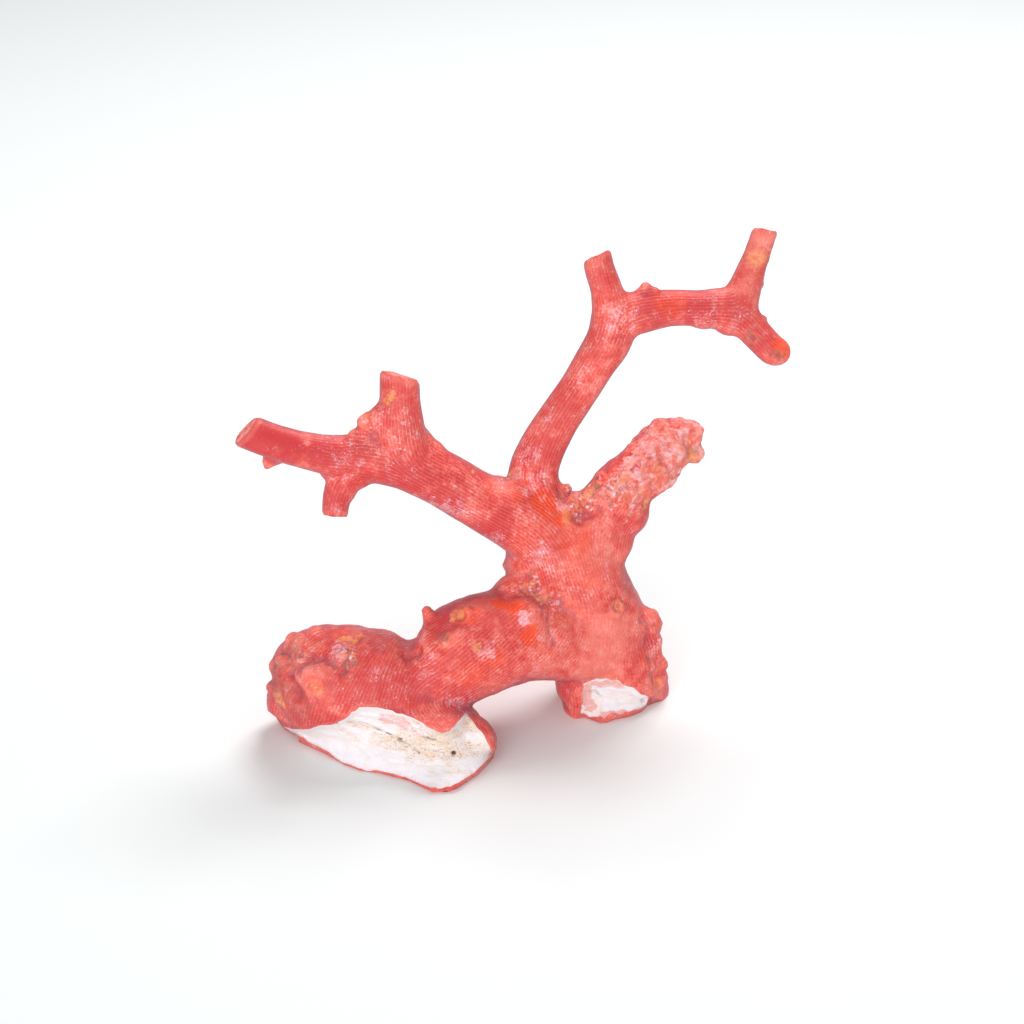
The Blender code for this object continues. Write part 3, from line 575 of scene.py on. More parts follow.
class Tree:
    """Builds the nodes of one material or of one tree of geometry nodes."""

    def __init__(self, tree):
        self.tree = tree

    def feed(self, socket, value):
        """Links a wire or a socket, or sets a plain value."""
        if isinstance(value, Wire):
            value = value.socket
        if isinstance(value, bpy.types.NodeSocket):
            self.tree.links.new(value, socket)
        else:
            socket.default_value = value

    def node(self, kind, settings=None, inputs=None):
        """A new node: its settings first, then its values and links."""
        node = self.tree.nodes.new(kind)
        for key, value in (settings or {}).items():
            setattr(node, key, value)
        for key, value in (inputs or {}).items():
            self.feed(node.inputs[key], value)
        return node

    def wire(self, kind, output, settings=None, inputs=None):
        return Wire(self, self.node(kind, settings, inputs).outputs[output])

    def mix(self, factor, first, second):
        """A colour between two colours, each given as a colour or a socket."""
        node = self.node("ShaderNodeMix", {"data_type": "RGBA", "clamp_factor": True}, {0: factor})
        for socket, value in zip(node.inputs[6:8], (first, second)):
            if not isinstance(value, bpy.types.NodeSocket):
                value = (*value, 1.0)
            self.feed(socket, value)
        return node.outputs[2]

    def noise(self, place, scale, detail=2.0, roughness=0.5, distortion=0.0):
        return self.wire(
            "ShaderNodeTexNoise", 0, None,
            {"Vector": place, "Scale": scale, "Detail": detail, "Roughness": roughness,
             "Distortion": distortion},
        )

    def field(self, name):
        """One of the numbers that the grown mesh carries."""
        return self.wire("ShaderNodeAttribute", 2, {"attribute_name": name})

    def cells(self, place, scale):
        """Scattered cells: the distance to each one's middle, and three numbers drawn for it."""
        cells = self.node("ShaderNodeTexVoronoi", {"feature": "F1"}, {"Vector": place, "Scale": scale})
        drawn = self.node("ShaderNodeSeparateColor", None, {0: cells.outputs["Color"]})
        return Wire(self, cells.outputs["Distance"]), [Wire(self, drawn.outputs[i]) for i in range(3)]


def geometry_tree(name, inputs):
    """A new tree of geometry nodes with named inputs. Gives the maker, its input and its output."""
    tree = bpy.data.node_groups.new(name, "GeometryNodeTree")
    tree.interface.new_socket("Geometry", in_out="INPUT", socket_type="NodeSocketGeometry")
    for label, kind, default in inputs:
        socket = tree.interface.new_socket(label, in_out="INPUT", socket_type=kind)
        if default is not None:
            socket.default_value = default
    tree.interface.new_socket("Geometry", in_out="OUTPUT", socket_type="NodeSocketGeometry")
    maker = Tree(tree)
    return maker, maker.node("NodeGroupInput").outputs, maker.node("NodeGroupOutput").inputs


def finish_tree(maker, geometry, material, output):
    """Ends a tree of geometry nodes in real faces with their material."""
    real = maker.node("GeometryNodeRealizeInstances", None, {"Geometry": geometry})
    done = maker.node(
        "GeometryNodeSetMaterial", None, {"Geometry": real.outputs[0], "Material": material}
    )
    maker.feed(output[0], done.outputs[0])


def limb_tree():
    """Geometry nodes that sweep a round limb along a curve, as thick as the curve's radius."""
    maker, given, output = geometry_tree("coral_limb", [
        ("Girth", "NodeSocketFloat", 1.0),
        ("Sides", "NodeSocketInt", 32),
        ("Step", "NodeSocketFloat", 0.5 * MM),
        ("Material", "NodeSocketMaterial", None),
    ])
    even = maker.node(
        "GeometryNodeResampleCurve", {"mode": "LENGTH"},
        {"Curve": given["Geometry"], "Length": given["Step"]},
    )
    ring = maker.node(
        "GeometryNodeCurvePrimitiveCircle", {"mode": "RADIUS"},
        {"Resolution": given["Sides"], "Radius": 1.0},
    )
    girth = Wire(maker, maker.node("GeometryNodeInputRadius").outputs[0]) * given["Girth"]
    swept = maker.node(
        "GeometryNodeCurveToMesh", None,
        {"Curve": even.outputs[0], "Profile Curve": ring.outputs[0], "Scale": girth,
         "Fill Caps": True},
    )
    finish_tree(maker, swept.outputs[0], given["Material"], output)
    return maker.tree


def lump_tree():
    """Geometry nodes that put a round lump on every point, as large as the point's size."""
    maker, given, output = geometry_tree("coral_lumps", [
        ("Roundness", "NodeSocketInt", 4),
        ("Material", "NodeSocketMaterial", None),
    ])
    ball = maker.node(
        "GeometryNodeMeshIcoSphere", None, {"Radius": 1.0, "Subdivisions": given["Roundness"]}
    )
    size = maker.node("GeometryNodeInputNamedAttribute", {"data_type": "FLOAT"}, {"Name": "size"})
    lumps = maker.node(
        "GeometryNodeInstanceOnPoints", None,
        {"Points": given["Geometry"], "Instance": ball.outputs[0], "Scale": size.outputs[0]},
    )
    finish_tree(maker, lumps.outputs[0], given["Material"], output)
    return maker.tree


def crust_tree():
    """Geometry nodes that scatter flat grains of crust over the rough parts of a skin."""
    maker, given, output = geometry_tree("coral_crust", [
        ("Density", "NodeSocketFloat", 400000.0),
        ("Largest", "NodeSocketFloat", 1.2 * MM),
        ("Seed", "NodeSocketInt", 4),
        ("Material", "NodeSocketMaterial", None),
    ])
    rough = maker.node("GeometryNodeInputNamedAttribute", {"data_type": "FLOAT"}, {"Name": "crust"})
    density = Wire(maker, rough.outputs[0]) * given["Density"]
    scattered = maker.node(
        "GeometryNodeDistributePointsOnFaces", {"distribute_method": "RANDOM"},
        {"Mesh": given["Geometry"], "Density": density, "Seed": given["Seed"]},
    )
    size = maker.node(
        "FunctionNodeRandomValue", {"data_type": "FLOAT_VECTOR"},
        {"Min": (0.35, 0.35, 0.2), "Max": (1.0, 1.0, 0.5), "Seed": given["Seed"]},
    )
    scale = maker.node(
        "ShaderNodeVectorMath", {"operation": "SCALE"}, {0: size.outputs[0], "Scale": given["Largest"]}
    )
    grain = maker.node("GeometryNodeMeshIcoSphere", None, {"Radius": 1.0, "Subdivisions": 2})
    grains = maker.node(
        "GeometryNodeInstanceOnPoints", None,
        {"Points": scattered.outputs[0], "Instance": grain.outputs[0],
         "Rotation": scattered.outputs["Rotation"], "Scale": scale.outputs[0]},
    )
    joined = maker.node("GeometryNodeJoinGeometry")
    maker.feed(joined.inputs[0], grains.outputs[0])
    maker.feed(joined.inputs[0], given["Geometry"])
    finish_tree(maker, joined.outputs[0], given["Material"], output)
    return maker.tree


# ---------------------------------------------------------------- meshes and numbers


def plain_mesh(obj):
    """The mesh an object shows, with its modifiers used up."""
    bpy.context.view_layer.update()
    graph = bpy.context.evaluated_depsgraph_get()
    return bpy.data.meshes.new_from_object(obj.evaluated_get(graph))


def use_up(obj):
    """Puts the result of an object's modifiers into its mesh."""
    mesh = plain_mesh(obj)
    obj.modifiers.clear()
    obj.data = mesh


def new_object(name, data):
    obj = bpy.data.objects.new(name, data)
    bpy.context.scene.collection.objects.link(obj)
    return obj


def add_modifier(obj, kind, name, **settings):
    """Puts a modifier with its settings on an object."""
    modifier = obj.modifiers.new(name, kind)
    for key, value in settings.items():
        setattr(modifier, key, value)
    return modifier


def add_nodes(obj, tree, **values):
    """Puts a tree of geometry nodes on an object. Its inputs are set by their identifiers."""
    modifier = obj.modifiers.new(tree.name, "NODES")
    modifier.node_group = tree
    for item in tree.interface.items_tree:
        if item.in_out == "INPUT" and item.name in values:
            modifier[item.identifier] = values[item.name]
    return modifier


def read(data, label, kind=np.float32, width=1):
    """One property of many parts of a mesh, as an array."""
    flat = np.empty(len(data) * width, kind)
    data.foreach_get(label, flat)
    return flat.reshape(-1, width) if width > 1 else flat


def points_of(mesh):
    """A mesh's points as an array, in millimetres."""
    return read(mesh.vertices, "co", width=3).astype(float) / MM


def set_points(mesh, points):
    mesh.vertices.foreach_set("co", (points * MM).astype(np.float32).ravel())
    mesh.update()


def triangles_of(mesh):
    """The corners of a triangulated mesh, three to a row."""
    return read(mesh.loops, "vertex_index", np.int32).reshape(-1, 3)


def edges_of(triangles):
    """The three edges of every triangle: first all the first ones, then the others."""
    return np.concatenate([triangles[:, [0, 1]], triangles[:, [1, 2]], triangles[:, [2, 0]]])


def finishes_of(mesh):
    """The number of every face's finish."""
    return read(mesh.polygons, "material_index", np.int32)


def store(mesh, name, values, kind="FLOAT", domain="POINT"):
    """Keeps one number, or one vector, for every point or face of a mesh."""
    attribute = mesh.attributes.new(name, kind, domain)
    label = "vector" if kind == "FLOAT_VECTOR" else "value"
    number = np.int32 if kind == "INT" else np.float32
    attribute.data.foreach_set(label, np.ascontiguousarray(values, dtype=number).ravel())


def stored(mesh, name, width=1):
    """What a mesh keeps under a name, as an array."""
    attribute = mesh.attributes[name]
    number = np.int32 if attribute.data_type == "INT" else np.float32
    return read(attribute.data, "vector" if width == 3 else "value", number, width)


def mesh_from(shape, name, materials=()):
    """Ends a bmesh in a new mesh."""
    mesh = bpy.data.meshes.new(name)
    shape.to_mesh(mesh)
    shape.free()
    for material in materials:
        mesh.materials.append(material)
    return mesh


def solid(name, points, faces, material):
    """An object from points in millimetres and the faces between them."""
    mesh = bpy.data.meshes.new(name)
    mesh.from_pydata((points * MM).tolist(), [], faces)
    mesh.materials.append(material)
    return new_object(name, mesh)


def face_outward(mesh, cut_faces=False):
    """Turns the faces of a closed mesh outward, and cuts them into triangles where asked."""
    shape = bmesh.new()
    shape.from_mesh(mesh)
    if cut_faces:
        bmesh.ops.triangulate(shape, faces=shape.faces)
    bmesh.ops.recalc_face_normals(shape, faces=shape.faces)
    shape.to_mesh(mesh)
    shape.free()


def smooth_step(values, low, high):
    """0 below low, 1 above high, and a smooth step between them."""
    part = np.clip((values - low) / (high - low), 0.0, 1.0)
    return part * part * (3.0 - 2.0 * part)


def unit(vectors):
    """Vectors drawn to the length one."""
    return vectors / np.maximum(np.linalg.norm(vectors, axis=-1, keepdims=True), 1e-12)


def lattice_noise(points, size, seed):
    """Smooth noise from -1 to 1 with lumps of about that size, the same on every run."""
    turn = np.array(Matrix.Rotation(0.7 + seed, 3, Vector((0.3, 1.0, 0.5 + 0.1 * seed))))
    place = points @ turn.T / size + 512.0
    cell = np.floor(place).astype(np.int64)
    part = place - cell
    part = part * part * (3.0 - 2.0 * part)
    total = np.zeros(len(points))
    for corner in range(8):
        step = np.array([corner & 1, corner >> 1 & 1, corner >> 2 & 1])
        at = cell + step
        mixed = at[:, 0] * 73856093 ^ at[:, 1] * 19349663 ^ at[:, 2] * 83492791 ^ (seed + 1) * 49979687
        mixed = (mixed & 0x7FFFFFFF) * 1274126177 & 0x7FFFFFFFFFFF
        mixed = (mixed ^ mixed >> 15) * 974634777 & 0x7FFFFFFFFFFF
        weight = np.prod(np.where(step, part, 1.0 - part), axis=1)
        total += weight * ((mixed >> 12 & 0xFFFF) / 32767.5 - 1.0)
    return total


def layered_noise(points, size, seed, layers=3):
    """Noise with finer and weaker noise on top."""
    return sum(lattice_noise(points, size / 2**i, seed + i) / 2**i for i in range(layers))


def distance_to_path(points, path):
    """The distance from every point to a line of straight stretches."""
    path = np.array(path, float)
    best = np.full(len(points), np.inf)
    for start, end in zip(path[:-1], path[1:]):
        along = end - start
        part = np.clip((points - start) @ along / (along @ along), 0.0, 1.0)
        best = np.minimum(best, np.linalg.norm(points - start - part[:, None] * along, axis=1))
    return best


# ---------------------------------------------------------------- growing the body


def limb_curve(name, points):
    """A limb's middle line as a curve whose radius is the limb's own."""
    curve = bpy.data.curves.new(name, "CURVE")
    curve.dimensions = "3D"
    curve.resolution_u = 12
    spline = curve.splines.new("BEZIER")
    spline.radius_interpolation = "CARDINAL"
    spline.bezier_points.add(len(points) - 1)
    for knot, (x, y, z, radius) in zip(spline.bezier_points, points):
        knot.co = Vector((x, y, z)) * MM
        knot.handle_left_type = knot.handle_right_type = "AUTO"
        knot.radius = radius * MM
    return new_object(name, curve)


def raw_growth(material):
    """All limbs and lumps as closed shells that overlap, in one object."""
    shells = bmesh.new()
    sweep = limb_tree()
    for name, points in LIMBS.items():
        limb = limb_curve(name + "_core", points)
        add_nodes(limb, sweep, Material=material)
        shells.from_mesh(plain_mesh(limb))
        bpy.data.objects.remove(limb, do_unlink=True)
    bmesh.ops.remove_doubles(shells, verts=shells.verts, dist=0.01 * MM)
    shells.from_mesh(lump_mesh("lumps", LUMPS, material))
    return new_object(WHOLE, mesh_from(shells, WHOLE))


def lump_mesh(name, lumps, material):
    """Round lumps, one at every place of a list."""
    seeds = bpy.data.meshes.new(name)
    seeds.from_pydata([Vector(lump[:3]) * MM for lump in lumps], [], [])
    store(seeds, "size", np.array([lump[3] * MM for lump in lumps]))
    holder = new_object(name, seeds)
    add_nodes(holder, lump_tree(), Material=material)
    mesh = plain_mesh(holder)
    bpy.data.objects.remove(holder, do_unlink=True)
    return mesh


def on_skin(points, place):
    """The point of a skin that lies nearest to a place."""
    return points[int(np.argmin(((points - place) ** 2).sum(1)))]


def mark_field(points, marks, seed, ragged=RAGGED):
    """How strong one kind of mark is at every point, with a ragged border."""
    wander = layered_noise(points, 1.4, seed)
    field = np.zeros(len(points))
    for x, y, z, radius, strength in marks:
        away = np.linalg.norm(points - on_skin(points, (x, y, z)), axis=1) / radius
        near = away < 2.2  # past the farthest that a ragged border reaches
        inside = 1.0 - smooth_step(away[near] + ragged * wander[near], 0.45, 1.25)
        field[near] = np.maximum(field[near], strength * inside)
    return field


def grow(body, sizes, material):
    """Lets the shells flow into one body, and lets crust grow on its rough parts."""
    add_modifier(body, "REMESH", "flow together", mode="VOXEL", voxel_size=sizes.flow_grain)
    add_modifier(body, "SMOOTH", "round the forks", factor=0.5, iterations=sizes.fork_smoothing)
    use_up(body)
    joined = bmesh.new()
    joined.from_mesh(body.data)
    joined.from_mesh(lump_mesh("knobs", KNOBS, material))
    joined.to_mesh(body.data)
    joined.free()
    store(body.data, "crust", crust_field(points_of(body.data)))
    add_nodes(
        body, crust_tree(), Density=sizes.crust_density, Largest=sizes.crust_size,
        Seed=sizes.crust_seed, Material=material,
    )
    add_modifier(body, "REMESH", "bind the crust", mode="VOXEL", voxel_size=2 * sizes.skin_grain)
    add_modifier(body, "SMOOTH", "wear the crust", factor=0.5, iterations=1)
    add_modifier(body, "SUBSURF", "fine skin", levels=1, render_levels=1)
    use_up(body)
    body.data.materials.clear()
    body.data.materials.append(material)


def crust_field(points):
    """Where crust has settled: on the stump, and where debris has gathered."""
    stump = mark_field(points, MARKS["pale"][STUMP_CRUST], 11)
    spots = mark_field(points, MARKS["debris"], 13)
    return np.maximum(stump, spots)


# ---------------------------------------------------------------- cutting and breaking


def carve(body, tool, operation="DIFFERENCE"):
    """Cuts a body with a closed tool, and takes the tool away."""
    add_modifier(
        body, "BOOLEAN", tool.name, operation=operation, object=tool, solver="MANIFOLD",
        material_mode="TRANSFER",
    )
    use_up(body)
    bpy.data.objects.remove(tool, do_unlink=True)
    if not body.data.polygons:
        raise RuntimeError(f"nothing is left of {body.name} after a cut")


def relief_slab(name, across, up, relief, top, axes, material):
    """A closed slab over a grid. Its under side is a relief, its upper side is flat at top."""
    columns, rows = len(across), len(up)
    grid_u, grid_v = np.meshgrid(across, up)
    under = np.stack([grid_u, grid_v, relief], -1).reshape(-1, 3)
    over = under.copy()
    over[:, 2] = top
    points = np.concatenate([under, over]) @ axes
    first = (np.arange(rows - 1)[:, None] * columns + np.arange(columns - 1)).ravel()
    cells = np.stack([first, first + columns, first + columns + 1, first + 1], 1)
    lid = cells[:, ::-1] + rows * columns
    border = np.concatenate([
        np.arange(columns - 1), np.arange(rows - 1) * columns + columns - 1,
        np.arange(rows * columns - 1, (rows - 1) * columns, -1),
        np.arange(rows - 1, 0, -1) * columns,
    ])
    after = np.roll(border, -1)
    walls = np.stack([border, after, after + rows * columns, border + rows * columns], 1)
    return solid(name, points, np.concatenate([cells, lid, walls]).tolist(), material)


def outline_prism(name, outline, low, high, axes, material):
    """A closed prism over an outline."""
    flat = np.array(outline, float)
    count = len(flat)
    ends = [np.column_stack([flat, np.full(count, level)]) for level in (low, high)]
    points = np.concatenate(ends) @ axes
    ring = list(range(count))
    faces = [ring[::-1], [i + count for i in ring]]
    faces += [[i, (i + 1) % count, (i + 1) % count + count, i + count] for i in ring]
    prism = solid(name, points, faces, material)
    face_outward(prism.data)
    return prism


def break_axes():
    """Right, up and outward of the plane that the broken faces lie in, as rows."""
    sine, cosine = math.sin(BREAK_TILT), math.cos(BREAK_TILT)
    return np.array([(1.0, 0.0, 0.0), (0.0, sine, cosine), (0.0, -cosine, sine)])


def on_break(points):
    """Where points lie in the plane of the broken faces, as rows of (right, up)."""
    return (points @ break_axes().T)[:, :2]


def flat_grid(across, up, height=0.0):
    """The points of a flat grid: as two grids of coordinates, and as rows of (x, y, z)."""
    grid_u, grid_v = np.meshgrid(across, up)
    rows = np.column_stack([grid_u.ravel(), grid_v.ravel(), np.full(grid_u.size, height)])
    return grid_u, grid_v, rows


def ragged_outline(outline, step, wander, seed):
    """An outline with short crooked stretches in place of its long straight ones."""
    points = []
    closed = [*outline, outline[0]]
    for (x0, y0), (x1, y1) in zip(closed[:-1], closed[1:]):
        count = max(1, round(math.hypot(x1 - x0, y1 - y0) / step))
        points += [(x0 + (x1 - x0) * i / count, y0 + (y1 - y0) * i / count) for i in range(count)]
    flat = np.array(points)
    place = np.column_stack([flat, np.zeros(len(flat))])
    shift = [layered_noise(place, 1.1, seed + k) * wander for k in (0, 5)]
    return flat + np.stack(shift, 1)


def inside_outline(points, outline):
    """Whether each flat point lies inside a closed outline."""
    inside = np.zeros(len(points), bool)
    x, y = points.T
    for (x0, y0), (x1, y1) in zip(outline, np.roll(outline, -1, axis=0)):
        crosses = (y0 > y) != (y1 > y)
        if y0 != y1:
            inside ^= crosses & (x < (x1 - x0) * (y - y0) / (y1 - y0) + x0)
    return inside


def broken_tool(name, shape, body_tree, material):
    """What broke away in front of a broken face. The tool's under side is the face itself.

    The face spans its own outline, lies a little below the skin, and falls in steps where layers end.
    """
    axes = break_axes()
    edge = ragged_outline(shape["outline"], 0.6, shape["ragged"], shape["seed"])
    low, high = edge.min(0) - 1.5, edge.max(0) + 1.5
    across = np.arange(low[0], high[0], shape["grain"])
    up = np.arange(low[1], high[1], shape["grain"])
    size = (len(up), len(across))
    place = flat_grid(across, up)[2]
    flat = place[:, :2]
    skin = np.array([skin_height(body_tree, u, v, axes) for u, v in flat]).reshape(size)
    known = np.isfinite(skin)
    span = stretched(skin, inside_outline(flat, edge).reshape(size))
    away = distance_to_path(place, [(*corner, 0.0) for corner in (*edge, edge[0])])
    upper = smooth_step(flat[:, 1] - edge[:, 1].mean(), -4.0, 3.0)
    lip = shape["lower_lip"] + (shape["upper_lip"] - shape["lower_lip"]) * upper
    sink = lip * (0.3 + 0.7 * smooth_step(away, 0.0, 1.0))
    sink = sink + shape["bowl"] * smooth_step(away, 0.0, 5.0)
    turned = place @ np.array(Matrix.Rotation(math.radians(shape["layer_slope"]), 3, "Z"))
    layers = layered_noise(turned * (0.16, 1.0, 1.0), 1.7, shape["seed"], 4)
    grit = layered_noise(turned * (0.6, 1.0, 1.0), 0.9, shape["seed"] + 3, 2)
    relief = 0.30 * layers * (0.4 + 0.6 * upper) + 0.08 * grit
    for path, height in shape["ledges"]:
        gap = signed_distance(flat + 0.25 * np.stack([layers, grit], 1), path)
        relief += height * smooth_step(gap, -0.12, 0.18) * np.exp(-np.maximum(gap, 0.0) / 1.8)
    relief = (relief * smooth_step(away, 0.0, 0.9) - sink).reshape(size) + span
    hole = np.hypot(*(flat - shape["hole"]).T).reshape(size)
    relief -= HOLE_DEPTH * (1.0 - smooth_step(hole, 0.25, 0.6))
    relief = np.minimum(relief, np.where(known, skin, 1e3) - 0.12)
    slab = relief_slab(name, across, up, relief, relief.max() + 25.0, axes, material)
    outline = f"{name}_outline"
    prism = outline_prism(outline, edge, relief.min() - 5.0, relief.max() + 20.0, axes, material)
    carve(slab, prism, "INTERSECT")
    return slab


def stretched(skin, inside):
    """The height of a sheet stretched over an opening, from the height of the skin around it."""
    span = np.where(np.isfinite(skin), skin, np.nanmin(skin))
    for _ in range(20):
        span = neighbour_mean(span)
    span = np.where(inside, span.mean(), span)
    for _ in range(1500):
        span = np.where(inside, neighbour_mean(span), span)
    return span


def signed_distance(flat, path):
    """The distance from flat points to a path: above the path it is positive, below it negative."""
    path = np.array(path, float)
    best, sign = np.full(len(flat), np.inf), np.ones(len(flat))
    for start, end in zip(path[:-1], path[1:]):
        along = end - start
        part = np.clip((flat - start) @ along / (along @ along), 0.0, 1.0)
        gap = flat - start - part[:, None] * along
        away = np.hypot(*gap.T)
        nearer = away < best
        best = np.where(nearer, away, best)
        sign = np.where(nearer, np.sign(along[0] * gap[:, 1] - along[1] * gap[:, 0] + 1e-9), sign)
    return best * sign


def rim_tool(name, rim, material):
    """What is trimmed off in front of a standing face. The trimmed edge leans outward as it rises."""
    path = np.array(rim, float)
    along = np.gradient(path, axis=0)
    out = unit(np.column_stack([along[:, 1], -along[:, 0]]))
    lines = [np.column_stack([path + out * shift, np.full(len(path), z)]) for shift, z in RIM_SECTION]
    rows, count = len(path), len(lines)
    ring = [(j, (j + 1) % count) for j in range(count)]
    faces = [
        [row + one, row + count + one, row + count + other, row + other]
        for row in range(0, (rows - 1) * count, count) for one, other in ring
    ]
    faces += [list(range(count)), list(range(rows * count - 1, (rows - 1) * count - 1, -1))]
    tool = solid(name, np.stack(lines, 1).reshape(-1, 3), faces, material)
    face_outward(tool.data, cut_faces=True)
    return tool


def neighbour_mean(grid):
    """Every cell's mean with its four neighbours."""
    padded = np.pad(grid, 1, mode="edge")
    return (padded[:-2, 1:-1] + padded[2:, 1:-1] + padded[1:-1, :-2] + padded[1:-1, 2:]) / 4.0


def skin_height(body_tree, right, up, axes):
    """How far out the skin lies at a place of the break's plane, or nan beside the body."""
    start = (right * axes[0] + up * axes[1] + 90.0 * axes[2]) * MM  # well in front of the coral
    hit = body_tree.ray_cast(Vector(start), Vector(-axes[2]))
    return float("nan") if hit[0] is None else float(np.array(hit[0]) @ axes[2]) / MM


def end_tool(index, point, direction, material):
    """What is taken off beyond a cut end. The cut is nearly flat, with faint saw marks."""
    turn = np.array(Vector(direction).to_track_quat("Z", "Y").to_matrix()).T
    grid = np.arange(-7.5, 7.6, 0.3)  # wider than any cut end
    grid_u, grid_v, place = flat_grid(grid, grid, 9.0 * index)
    relief = 0.16 * layered_noise(place, 2.2, 40 + index).reshape(grid_u.shape)
    relief += 0.05 * np.sin(grid_v * 7.0 + grid_u)
    tool = relief_slab(f"cut_end_{index}", grid, grid, relief, 15.0, turn, material)
    tool.data.transform(Matrix.Translation(Vector(point) * MM))
    return tool


def joined_tool(tools):
    """Several tools that don't touch, as one."""
    shape = bmesh.new()
    materials = []
    for tool in tools:
        material = tool.data.materials[0]
        if material not in materials:
            materials.append(material)
        before = len(shape.faces)
        shape.from_mesh(tool.data)
        shape.faces.ensure_lookup_table()
        for face in shape.faces[before:]:
            face.material_index = materials.index(material)
        bpy.data.objects.remove(tool, do_unlink=True)
    return new_object("tools", mesh_from(shape, "tools", materials))


def ground_tool(material):
    """Everything below the standing surface."""
    shape = bmesh.new()
    bmesh.ops.create_cube(shape, size=0.4, matrix=Matrix.Translation((0.0, 0.0, -0.2)))
    return new_object("cut_ground", mesh_from(shape, "cut_ground", [material]))


def cut_body(body, skin, core, end):
    """Cuts the foot and the lobe flat, cuts the limbs' ends, and breaks the base open."""
    for name, rim in RIMS.items():
        carve(body, rim_tool(name, rim, skin))
    body_tree = BVHTree.FromObject(body, bpy.context.evaluated_depsgraph_get())
    tools = [broken_tool(name, shape, body_tree, core) for name, shape in BREAKS.items()]
    tools += [end_tool(index, *cut, end) for index, cut in enumerate(END_CUTS)]
    carve(body, joined_tool(tools))
    carve(body, ground_tool(core))


def seam_forks(body):
    """Cuts the mesh into triangles, and draws an edge right round the root of every limb."""
    shape = bmesh.new()
    shape.from_mesh(body.data)
    bmesh.ops.triangulate(shape, faces=shape.faces)
    shape.faces.ensure_lookup_table()
    centres = np.array([face.calc_center_median() for face in shape.faces]) / MM
    near = []
    for point, direction, half_width in FORKS.values():
        away = centres - point
        level = np.abs(away @ unit(np.array(direction)))
        picked = (level < SEAM_REACH) & (np.linalg.norm(away, axis=1) < half_width)
        near.append([shape.faces[int(i)] for i in np.flatnonzero(picked)])
    for faces, (point, direction, _) in zip(near, FORKS.values()):
        edges = {edge for face in faces for edge in face.edges}
        corners = {vertex for face in faces for vertex in face.verts}
        bmesh.ops.bisect_plane(
            shape, geom=[*faces, *edges, *corners], dist=0.002 * MM,
            plane_co=Vector(point) * MM, plane_no=Vector(direction).normalized(),
        )
    bmesh.ops.triangulate(shape, faces=[face for face in shape.faces if len(face.verts) > 3])
    shape.to_mesh(body.data)
    drop_scraps(shape, triangles_of(body.data))
    shape.to_mesh(body.data)
    shape.free()


def drop_scraps(shape, triangles):
    """Takes away loose crumbs and flaps without thickness, so that one closed body is left."""
    numbers = group_numbers(len(triangles), *neighbours_of(triangles))
    crumbs = numbers != np.bincount(numbers).argmax()
    _, which, count = np.unique(np.sort(triangles), axis=0, return_inverse=True, return_counts=True)
    flaps = count[which.ravel()] > 1
    shape.faces.ensure_lookup_table()
    scraps = [shape.faces[int(i)] for i in np.flatnonzero(crumbs | flaps)]
    bmesh.ops.delete(shape, geom=scraps, context="FACES")


# ---------------------------------------------------------------- grooves and marks


class Net:
    """The points and edges of a mesh, for sums over neighbours."""

    def __init__(self, triangles, count):
        pairs = np.unique(np.sort(edges_of(triangles)), axis=0)
        both = np.concatenate([pairs, pairs[:, ::-1]])
        both = both[np.argsort(both[:, 0], kind="stable")]
        self.home, self.other = both.T
        self.degree = np.bincount(self.home, minlength=count)
        self.first = np.concatenate([[0], np.cumsum(self.degree)[:-1]])

    def total(self, values):
        """The sum of each point's edge values."""
        return np.add.reduceat(values, self.first, axis=0)

    def mean(self, values):
        """The mean of each point's neighbours."""
        return self.total(values[self.other]) / self.degree.reshape(-1, *[1] * (values.ndim - 1))

    def edges_from(self, points):
        """The numbers of all edges that leave some points."""
        counts = self.degree[points]
        starts = np.repeat(self.first[points] - np.concatenate([[0], np.cumsum(counts)[:-1]]), counts)
        return starts + np.arange(counts.sum())


def limb_stations():
    """Places along the limbs, evenly spaced: their middles, growing directions and radii."""
    middles, ways, radii = [], [], []
    for name, points in LIMBS.items():
        knots = np.array(points)
        for start, end in zip(knots[:-1], knots[1:]):
            count = max(2, int(np.linalg.norm(end[:3] - start[:3]) / STATION_GAP))
            part = (np.arange(count) + 0.5)[:, None] / count
            stretch = start + part * (end - start)
            way = unit(end[:3] - start[:3]) * (-1.0 if name in DOWNWARD else 1.0)
            if name == "root_arm":  # its grooves turn up where they join the trunk
                way = unit(way + (0.0, 0.0, 1.1 * smooth_step(start[0], -34.0, -6.0)))
            middles.append(stretch[:, :3])
            ways.append(np.tile(way, (count, 1)))
            radii.append(stretch[:, 3])
    return np.concatenate(middles), np.concatenate(ways), np.concatenate(radii)


def growing_ways(points, normals, net):
    """The way the coral grew at every point of its skin, along which its grooves run."""
    middles, limb_ways, radii = limb_stations()
    away = (points**2).sum(1)[:, None] + (middles**2).sum(1) - 2.0 * points @ middles.T
    ways = unit(np.exp((-3.0 * away / radii**2).astype(np.float32)) @ limb_ways)
    # The lobe spread over its rock, so its grooves rise from the rock to the neck.
    lobe = smooth_step(-points[:, 0], *LOBE_FROM) * (1.0 - smooth_step(points[:, 2], *LOBE_TOP))
    lobe = lobe[:, None]
    rise = unit(np.array(LOBE_NECK) - points)
    ways = unit(ways * (1.0 - lobe) + unit(rise + (0.0, 0.0, 0.9)) * lobe)
    for _ in range(WAY_PASSES):
        ways = along_skin(ways, normals)
        ways = unit(0.3 * ways + 0.7 * net.mean(ways))
    return along_skin(ways, normals)


def along_skin(ways, normals):
    """Directions turned to lie along the skin."""
    return unit(ways - normals * (ways * normals).sum(1, keepdims=True))


